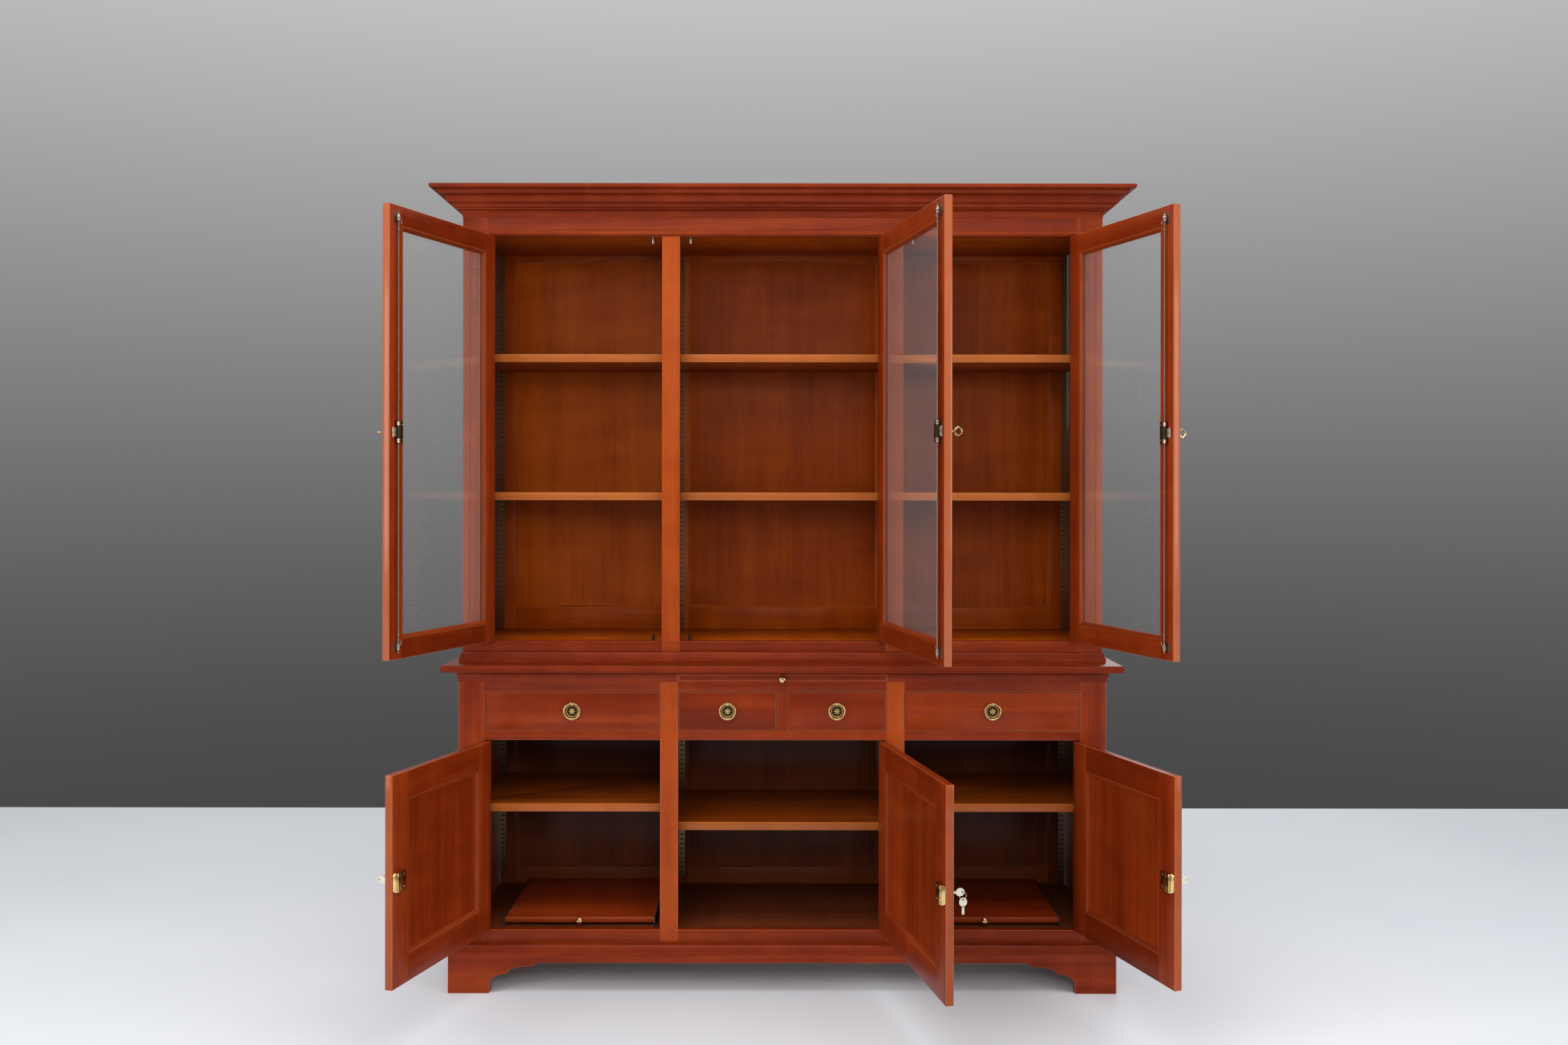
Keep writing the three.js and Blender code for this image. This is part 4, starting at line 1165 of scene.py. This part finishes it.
# %% Rods, guides and lock cases on the glazed doors
ROD_INSET, ROD_OUT = 22.6 * MM, 7.5 * MM
UP, DOWN, OUT_OF_DOOR, INTO_DOOR = (0, 0, 1), (0, 0, -1), (0, -1, 0), (0, 1, 0)


def mm_profile(points):
    return [(r * MM, h * MM) for r, h in points]


def flat_metal(bench, at, xs, ys, zs, radius, look, wear=0.0):
    """A board whose ends are given in millimetres from one place."""
    ends = [start + end * MM for start, pair in zip(at, (xs, ys, zs)) for end in pair]
    bench.take(board(*ends, radius * MM), look, wear=wear)


def rod_piece(door, end):
    """A rod with a stepped tip that enters its keep."""
    low, high = (21.0, 487.5) if end == "lower" else (517.5, 984.0)
    x, y = door.width - ROD_INSET, door.thickness + ROD_OUT
    foot, way = ((high, DOWN) if end == "lower" else (low, UP))
    length = high - low
    tip = [(0, 0), (1.9, 0), (1.9, length - 37), (3.0, length - 36.4), (3.4, length - 35),
           (3.0, length - 33.6),
           (2.1, length - 33), (2.1, length - 1.5), (1.8, length), (1.8,
                                                                    length + 5), (1.1, length + 6), (0, length + 6)]
    bench = Bench(door.place)
    bench.take(turned(mm_profile(tip), (x, y, foot * MM), way, 14), ROD_METAL, wear=0.65)
    node = f"rod_{end}_{door.bay}"
    bench.make(node + "_turned", node, "nickel", [node])


def guide(bench, door, z, way):
    """A cast guide: a plate on the stile, a beaded collar round the rod and a small finger beside it."""
    x, y = door.width - ROD_INSET, door.thickness
    flat_metal(bench, (x, y, z), (-8, 8), (-0.2, 1.6), (-11, 11), 0.5, ROD_METAL, 0.45)
    flat_metal(bench, (x, y, z), (-3.2, 3.2), (1.2, 6.0), (-5, 5), 0.8, ROD_METAL, 0.35)
    collar = mm_profile([(2.5, -7), (4.4, -7), (5.0, -6), (4.4, -5), (3.9, -4.2), (5.2, -2.2), (5.6, 0),
                         (5.2, 2.2),
                         (3.9, 4.2), (4.4, 5), (5.0, 6), (4.4, 7), (2.5, 7)])
    bench.take(turned(collar, (x, y + ROD_OUT, z), UP, 18), ROD_METAL, wear=0.7)
    lean = -1 if way == UP else 1
    finger = [(x - 4 * MM, y + 6 * MM, z), (x - 8 * MM, y + 7 * MM, z - lean * 3 * MM),
              (x - 11 * MM, y + 7 * MM, z - lean * 8 * MM), (x - 11 * MM, y + 7 * MM, z - lean * 11 * MM)]
    bench.take(wire(finger, [1.6 * MM, 1.4 * MM, 1.2 * MM, 1.5 * MM]), ROD_METAL, wear=0.6, smooth=True)
    bench.take(turned(mm_profile([(0, -2), (1.5, -1.5), (2, 0), (1.5, 1.5), (0, 2)]), finger[-1], UP, 10),
               ROD_METAL, wear=0.9)
    screws(bench, [(x, y + 1.8 * MM, z + dz * MM) for dz in (-8.4, 8.4)], ROD_METAL, 1.6)


def lock_case(door):
    x, y, z = door.width - ROD_INSET, door.thickness, door.height / 2
    bench = Bench(door.place)
    flat_metal(bench, (x, y, z), (-13, 3.5), (-0.2, 11), (-25, 25), 1.4, DARK_METAL, 0.3)
    flat_metal(bench, (x, y, z), (-10.5, 1), (10.5, 12.2), (-21, 21), 0.7, DARK_METAL, 0.6)
    for at in (-19, 19):
        flat_metal(bench, (x, y, z), (-4.2, 4.4), (4, 13.0), (at - 5, at + 5), 1.6, NICKEL, 0.85)
    flat_metal(bench, (x, y, z), (3.2, 14.5), (-0.2, 5), (-11.5, 11.5), 1.0, NICKEL, 0.7)
    for at in (6.5, 9.0, 11.5):
        flat_metal(bench, (x, y, z), (at, at + 1.2), (4.6, 5.9), (-8.5, 8.5), 0.4, NICKEL, 1.0)
    screws(bench, [(x + dx * MM, y + 12.3 * MM, z + dz * MM) for dx,
                   dz in ((-8, -17), (-1.5, -17), (-8, 17), (-1.5, 17))],
           NICKEL, 1.7)
    bench.make(door.body + "_lock_case", door.body, "nickel")
    bench = Bench(door.place)
    guide(bench, door, 29 * MM, UP)
    guide(bench, door, door.height - 29 * MM, DOWN)
    bench.make(door.body + "_rod_guides", door.body, "nickel")


for door in DOORS[:3]:
    for end in ("lower", "upper"):
        rod_piece(door, end)
    lock_case(door)
print("6 rods, 6 guides, 3 lock cases")

# %% [markdown]
# ## Keys
# The keys of the glazed doors have an open cast bow of scrolls, and they stay in their locks because
# the doors have no other handle. The panelled doors have plain nickel keys; the middle one carries a
# spare on a split ring.

# %% Keys and escutcheons
KEY_TURNS = {"left": 90, "middle": 0, "right": 0}


def ring_path(centre, radius, count=24, start=0.0, sweep_angle=2 * math.pi):
    """Points round a circle or part of one, standing in the YZ plane."""
    steps = count if sweep_angle == 2 * math.pi else count - 1
    path = []
    for i in range(count):
        angle = start + sweep_angle * i / steps
        path.append((centre[0], centre[1] + radius * math.cos(angle), centre[2] + radius * math.sin(angle)))
    return path


def fancy_key(door):
    """The key is drawn round its own shank, so that it can be left turned in its lock."""
    turn = math.radians(KEY_TURNS[door.bay])
    bench = Bench(door.place @ Matrix.Translation((door.width - ROD_INSET, 0,
                                                   door.height / 2)) @ Matrix.Rotation(turn, 4, "Y"))
    shank = mm_profile([(0, 0.4), (2.3, 0.4), (2.3, 4), (3.4, 4.6), (3.4, 5.8), (2.1, 6.4), (2.0, 9),
                        (3.0, 9.8),
                        (3.6, 11), (3.0, 12.2), (1.8, 13), (1.2, 14), (0, 14)])
    bench.take(turned(shank, (0, 0, 0), OUT_OF_DOOR, 14), BRASS, wear=0.8)
    bow = [(0, (-21.0 - 8.0 * math.cos(a) * (1 + 0.10 * math.cos(4 * a))) * MM,
            8.6 * math.sin(a) * (1 + 0.10 * math.cos(4 * a)) * MM)
           for a in np.linspace(0, 2 * math.pi, 36, endpoint=False)]
    bench.take(wire(bow, 1.25 * MM, True), BRASS, wear=0.9, smooth=True)
    for side in (-1, 1):
        curl = ring_path((0, -15.6 * MM, side * 5.6 * MM), 2.5 * MM, 14, -0.6 * side, side * 4.4)
        bench.take(wire(curl, [(1.15 - 0.04 * i) * MM for i in range(14)]), BRASS, wear=0.75, smooth=True)
        hook = ring_path((0, -27.4 * MM, side * 3.0 * MM), 2.3 * MM, 12, 1.2 * side, side * 3.8)
        bench.take(wire(hook, [(1.1 - 0.04 * i) * MM for i in range(12)]), BRASS, wear=0.75, smooth=True)
    ball = mm_profile([(0, -1.7), (1.2, -1.2), (1.7, 0), (1.2, 1.2), (0, 1.7)])
    bench.take(turned(ball, (0, -30.6 * MM, 0), OUT_OF_DOOR, 10), BRASS, wear=0.95)
    bench.make(f"upper_key_{door.bay}_cast", f"upper_key_{door.bay}", "brass", [f"upper_key_{door.bay}"])


def plate_with_hole(radius, hole, shift, thickness, squash):
    """A flat disc with one round hole near its rim, as a key is stamped."""
    rims = []
    for reach, centre, height in ((radius, 0.0, 1.0), (hole, shift, 1.0)):
        ring = []
        for i in range(24):
            angle = 2 * math.pi * i / 24
            ring.append((centre + reach * math.cos(angle),
                         reach * math.sin(angle) * (squash if centre == 0 else 1.0)))
        rims.append(ring)
    outer, inner = rims
    half = thickness / 2
    loops = [[(x, a * MM, b * MM) for a, b in ring] for ring, x in
             ((outer, half * MM), (outer, -half * MM), (inner, -half * MM), (inner, half * MM))]
    return sweep(loops, True, smooth=False)


def stamped_key(bench, place, tip):
    """A plain stamped key; in its own place the shank runs from the tip along -y to the bow."""
    blade = board(-1.1 * MM, 1.1 * MM, -12.5 * MM, tip * MM, -3.0 * MM, 3.0 * MM, 0.5 * MM)
    bow = plate_with_hole(9.6, 2.1, -5.4, 2.2, 0.92)
    bmesh.ops.translate(bow, vec=(0, -20.5 * MM, 0), verts=bow.verts)
    for bm in (blade, bow):
        bmesh.ops.transform(bm, matrix=place, verts=bm.verts)
        bench.take(bm, NICKEL, wear=0.85)


def lower_key(door):
    x, z = door.width - 21 * MM, door.height / 2
    bench = Bench(door.place)
    stamped_key(bench, Matrix.Translation((x, 0, z)), -0.4)
    if door.bay == "middle":
        bench.take(wire(ring_path((x + 0.4 * MM, -26.5 * MM, z - 7.5 * MM), 7.6 * MM, 24), 0.65 * MM, True,
                        6), NICKEL, wear=0.9,
                   smooth=True)
        hung = Matrix.Translation((x + 1.6 * MM, -26.5 * MM,
                                   z - 41.5 * MM)) @ Matrix.Rotation(math.radians(-90), 4, "X")
        stamped_key(bench, hung, 6.0)
    node = f"lower_key_{door.bay}"
    bench.make(node + "_stamped", node, "nickel", [node])


def escutcheon(door):
    """A brass keyhole plate on the outer face and, on panelled doors, a lock box inside."""
    x = door.width - (ROD_INSET if door.case == "upper" else 21 * MM)
    z, y = door.height / 2, door.thickness
    bench = Bench(door.place)
    plate = turned(mm_profile([(0, 0.9), (2.6, 0.9), (3.2, 1.1), (6.0, 0.9), (7.4, 0.4), (7.8, -0.2),
                               (0, -0.2)]),
                   (x, 0, z), OUT_OF_DOOR, 24)
    bmesh.ops.scale(plate, vec=(1, 1, 1.7), space=Matrix.Translation((-x, 0, -z)), verts=plate.verts)
    bench.take(plate, BRASS, wear=0.65)
    if door.case == "lower":
        x0, x1 = door.width - 40 * MM, door.width - 4 * MM
        bench.take(board(x0, x1, y - 0.2 * MM, y + 9.4 * MM, z - 21 * MM, z + 21 * MM, 1.2 * MM), BRASS,
                   wear=0.75)
        bench.take(board(x0 + 3 * MM, x1 - 3 * MM, y + 9.0 * MM, y + 10.1 * MM, z - 18 * MM, z + 18 * MM,
                         0.6 * MM), BRASS, wear=0.55)
        flat_metal(bench, (x1, y, z), (-0.5, 2.2), (-3, 9), (-19, 19), 0.6, BRASS, 0.9)
        corners = [(x0 + a * MM, y + 10.3 * MM, z + b * MM) for a in (7, 21) for b in (-13.5, 13.5)]
        screws(bench, corners, BRASS, 2.0)
        for lift in (-16.5, 16.5):
            stud = mm_profile([(0, 0), (4.0, 0), (4.0, 1.6), (3.2, 2.8), (1.6, 3.3), (0, 3.4)])
            bench.take(turned(stud, (x1 - 4.6 * MM, y + 9.4 * MM, z + lift * MM), INTO_DOOR, 16), BRASS,
                       wear=1.0)
        flat_metal(bench, (x1, y, z), (-7.4, -1.6), (9.0, 12.0), (-15, 15), 0.9, BRASS, 0.8)
        flat_metal(bench, (x1, y, z), (-9.8, -7.6), (9.0, 10.5), (-12, 12), 0.4, DARK_METAL)
    bench.make(door.body + "_brass", door.body, "brass")


for door in DOORS:
    fancy_key(door) if door.case == "upper" else lower_key(door)
    escutcheon(door)
print("6 keys and 6 escutcheons")

# %% [markdown]
# ## Hinges, keeps and knobs
# The hinge barrels stand just proud of the joint between door and post, centred on the same axis the
# model turns on. Keeps are the little sockets the rods run into. The knobs of the trays and the
# writing slide are turned brass.

# %% Hinge barrels
def hinge_barrels(door):
    spots = (90, 502, 915) if door.case == "upper" else (70, 394)
    bench = Bench(door.place)
    for spot in spots:
        for i in range(5):
            low = -32.0 + 13 * i
            knuckle = mm_profile([(0, low + 0.2), (2.2, low + 0.2), (2.7, low + 0.7), (2.7, low + 12.2),
                                  (2.2, low + 12.7), (0, low + 12.7)])
            bench.take(turned(knuckle, (-0.4 * MM, -0.6 * MM, spot * MM), UP, 12), BRASS, wear=0.5)
        for at, way in ((33, UP), (-33, DOWN)):
            tip = mm_profile([(0, -1), (2.0, -1), (2.0, 0.5), (2.5, 1.4), (2.2, 2.8), (0.8, 3.8), (0, 3.9)])
            bench.take(turned(tip, (-0.4 * MM, -0.6 * MM, (spot + at) * MM), way, 12), BRASS, wear=0.85)
    bench.make(door.body + "_hinge_barrels", door.body, "brass")


for door in DOORS:
    hinge_barrels(door)
print("15 hinges")

# %% Keeps, tray runners and knobs
def keeps():
    top, bottom = Bench(), Bench()
    y = UPPER_FRONT + 18 * MM + ROD_OUT
    floor_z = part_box("upper_floor")[1].z
    ceiling_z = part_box("upper_top")[0].z
    for x, post in ((-324.5, 1), (-231.6, -1), (324.5, -1)):
        tube = mm_profile([(2.9, 0), (4.1, 0), (4.1, 17.4), (3.6, 17.8), (2.9, 17.8), (2.9, 0)])
        bottom.take(turned(tube, (x * MM, y, floor_z), UP, 16), DARK_METAL, wear=0.35)
        xs = sorted((x * MM - post * 5 * MM, (x + post * 17) * MM))
        bottom.take(board(*xs, y - 3.6 * MM, y + 6.5 * MM, floor_z, floor_z + 1.5 * MM, 0.4 * MM),
                    DARK_METAL, wear=0.3)
        hook = mm_profile([(2.9, 0), (4.1, 0), (4.1, 22.6), (3.5, 23.2), (2.9, 23.2), (2.9, 0)])
        top.take(turned(hook, (x * MM, y, ceiling_z), DOWN, 16), NICKEL, wear=0.75)
        top.take(board(x * MM - 7 * MM, x * MM + 7 * MM, y - 3.4 * MM, y + 9 * MM, ceiling_z - 1.5 * MM,
                       ceiling_z, 0.4 * MM), NICKEL, wear=0.6)
    bottom.make("rod_keeps_below", "cabinet", "nickel")
    top.make("rod_keeps_above", "cabinet", "nickel")


def knob_profile(radius):
    return mm_profile([(0, -1), (4.6, -1), (5.2, 0.2), (5.0, 1.2), (3.4, 2.0), (2.9, 3.6), (3.4, 5.0),
                       *[(radius * math.cos(a), 5.4 + radius * 0.62 * (1 + math.sin(a)))
                         for a in np.linspace(-1.1, 1.35, 10)],
                       (0, 5.4 + radius * 1.24)])


def knob(body, x, y, z, radius=8.6):
    bench = Bench()
    bench.take(turned(knob_profile(radius), (x, y, z), OUT_OF_DOOR, 28), BRASS, wear=0.95)
    bench.make(body + "_knob", body, "brass")


keeps()
knob("writing_slide", 0.0, FRONT - 3.4 * MM, 766 * MM)
runner_bench = Bench()
for side in ("left", "right"):
    (x0, y0, z0), (x1, y1, z1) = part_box(f"pull_out_tray_{side}")
    knob(f"pull_out_tray_{side}", (x0 + x1) / 2, y0, (z0 + z1) / 2)
    for edge, way in ((x0 - 0.6 * MM, -1), (x1 + 0.6 * MM, 1)):
        low, high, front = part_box("lower_floor")[1].z, z1 + 1.0 * MM, y0 - 9 * MM
        nose = [(front + 9 * MM * (1 - math.cos(a)), low + (high - low) * math.sin(a))
                for a in np.linspace(0, math.pi / 2, 7)]
        outline = [*nose, (y1 - 4 * MM, high), (y1 - 4 * MM, low)]
        runner_bench.take(ease(cutout(outline, way * 2.6 * MM, edge, flat="x"), 0.4 * MM), RUNNER, wear=0.4)
runner_bench.make("tray_runners", "cabinet", "nickel")
print("3 knobs, 6 keeps, 4 runners")

# %% [markdown]
# ## Ring pulls
# Each drawer has a cast ring on a pressed rosette: two ridges, a ring of beads and a small flower of
# petals round a button. The ring is a wire bent to a circle and hangs from a lug at the top, where
# its joint is. The beads and petals are the petal recipe set on circles of points.

# %% Ring pulls
def circle_of(count, radius, centre, turn_offset=0.0):
    """Points and outward turns round a circle on a drawer front."""
    angles = [2 * math.pi * i / count + turn_offset for i in range(count)]
    spots = [(centre[0] + radius * math.sin(a), centre[1], centre[2] + radius * math.cos(a)) for a in angles]
    return spots, [(0.0, a, 0.0) for a in angles]


def ring_pull(name):
    (x0, _, z0), (x1, _, z1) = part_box(f"ring_pull_{name}")
    x, z = (x0 + x1) / 2, (z0 + z1) / 2
    radius, hang = 19.3 * MM, FRONT - 6.6 * MM
    circle, wires = [], []
    for i in range(48):
        a = 2 * math.pi * i / 48
        circle.append((x + radius * math.sin(a), hang, z + radius * math.cos(a)))
        wires.append((2.25 - 0.25 * math.cos(a)) * MM)
    bench = Bench()
    bench.take(wire(circle, wires, True, 12), BRASS, wear=0.95, smooth=True)
    bench.make(f"ring_pull_{name}_cast", f"ring_pull_{name}", "brass", [f"ring_pull_{name}"])
    rosette = Bench()
    plate = mm_profile([(0, 1.1), (9.3, 1.1), (9.8, 1.7), (10.6, 1.7), (11.1, 1.0), (12.6, 1.0),
                        (13.0, 1.9), (13.9, 2.7),
                        (14.9, 2.7), (15.8, 1.9), (16.2, 0.7), (16.4, -0.2), (0, -0.2)])
    rosette.take(turned(plate, (x, FRONT, z), OUT_OF_DOOR, 48), BRASS,
                 wear=lambda f: 0.7 if f.calc_center_median().y < FRONT - 1.75 * MM else 0.0)
    for count, out, face, size, shift in ((30, 11.9, 1.1, (1.2, 1.2, 1.2), 0.0),
                                          (8, 5.8, 1.3, (3.3, 1.7, 6.6), 0.0),
                                          (8, 3.9, 1.9, (2.2, 1.6, 4.4), math.pi / 8)):
        spots, turns = circle_of(count, out * MM, (x, FRONT - face * MM, z), shift)
        source = points_mesh(spots, turn=turns, size=[tuple(s * MM for s in size)] * count)
        rosette.take(grown(PETAL, source, BRASS, Taper=0.0 if count == 30 else 0.55), BRASS, wear=0.7,
                     smooth=True)
    button = mm_profile([(0, 0), (2.3, 0), (2.5, 1.9), (2.0, 3.0), (1.1, 3.6), (0, 3.8)])
    rosette.take(turned(button, (x, FRONT, z), OUT_OF_DOOR, 16), BRASS, wear=1.0)
    rosette.take(board(x - 2.9 * MM, x + 2.9 * MM, hang - 3.2 * MM, FRONT + 0.2 * MM, z + radius - 3.6 * MM,
                       z + radius + 3.2 * MM, 1.3 * MM), BRASS, wear=0.8)
    rosette.make(f"drawer_{name}_rosette", f"drawer_{name}", "brass")


for name in DRAWERS:
    ring_pull(name)
print("4 ring pulls")

# %% [markdown]
# ## Carving on the posts
# The outer posts of the glazed case carry a carved pendant inside a raised bead. A pendant is a bow
# at the top and then tiers of drooping husks, each smaller than the one above, tied by stems. The
# husks are petals again, with a fixed seed so that no two are quite alike, as if cut by hand.

# %% Pendants and beads
PENDANT_X, PENDANT_TOP = 764 * MM, 1829 * MM
TIERS = ((38, 1.0), (86, 0.82), (122, 0.62), (148, 0.4))


def pendant(bench, side, carve):
    def spot(a, b, proud=0.3):
        return (side * PENDANT_X + a * MM, UPPER_FRONT - proud * MM, PENDANT_TOP - b * MM)

    for way in (-1, 1):
        loop = [spot(way * (6.0 + 4.8 * math.cos(a)), 7 - 4.2 * math.sin(a) - 2.2 * math.cos(a))
                for a in np.linspace(0, 2 * math.pi, 14, endpoint=False)]
        bench.take(wire(loop, 1.25 * MM, True), MAHOGANY, wear=0.75, smooth=True)
        ribbon = [spot(way * a, b) for a, b in ((1, 8), (4, 13), (7.5, 16), (9.5, 21), (8.5, 27), (10.5, 32))]
        bench.take(wire(ribbon, [1.5 * MM, 1.5 * MM, 1.3 * MM, 1.2 * MM, 1.1 * MM, 0.7 * MM]), MAHOGANY,
                   wear=0.7, smooth=True)
    spots, turns, sizes = [], [], []
    above = 9
    for drop, scale in TIERS:
        for offset in (-2.4, 0.0, 2.4):
            stem = [spot(offset * scale * 1.4, above), spot(offset * scale, (above + drop) / 2 + 1),
                    spot(offset * scale, drop - 1)]
            bench.take(wire(stem, [0.9 * MM, 1.3 * scale * MM, 0.9 * MM]), MAHOGANY, wear=0.65, smooth=True)
        for lean in (-48, -24, 0, 24, 48):
            angle = math.radians(180 - lean + carve.uniform(-4, 4))
            length = (21 - abs(lean) * 0.12) * scale * carve.uniform(0.93, 1.07)
            reach = length * 0.5
            spots.append(spot(math.sin(angle) * reach, drop - math.cos(angle) * reach,
                              0.5 - abs(lean) * 0.004))
            turns.append((0.0, angle, 0.0))
            sizes.append((5.6 * scale * MM, 4.4 * MM * (0.5 + scale / 2), length * MM))
        if scale > 0.5:
            for way in (-1, 1):
                hook = [(1.5, 1), (5, 3), (8.2, 6), (10.6, 7), (12.4, 4.6), (11.8, 1.4), (9.8, 1.8)]
                path = [spot(way * a * (0.35 + 0.65 * scale), drop + b * scale) for a, b in hook]
                bench.take(wire(path, [(1.7 - 0.12 * i) * scale * MM for i in range(7)]), MAHOGANY,
                           wear=0.8, smooth=True)
        above = drop + 12 * scale
    source = points_mesh(spots, turn=turns, size=sizes)
    bench.take(grown(PETAL, source, MAHOGANY, Segments=10, Rings=8), MAHOGANY, wear=0.55, smooth=True)


carve, carving = random.Random(7), Bench()
bead = profile([(0, -0.5), (0.1, 0.5), (0.7, 1.2), (1.5, 1.4), (2.3, 1.2), (2.9, 0.5), (3.0, -0.5)])
for side in (-1, 1):
    pendant(carving, side, carve)
    inner, outer = sorted((side * 747.5 * MM, side * 781.5 * MM))
    panel = (inner, outer, 872 * MM, 1848 * MM)
    carving.take(frame_run(panel, bead, UPPER_FRONT), MAHOGANY, "z", frame_boards(panel), wear=0.3)
carving.make("carved_pendants", "cabinet", "mahogany")
print("2 pendants of", len(TIERS), "tiers")
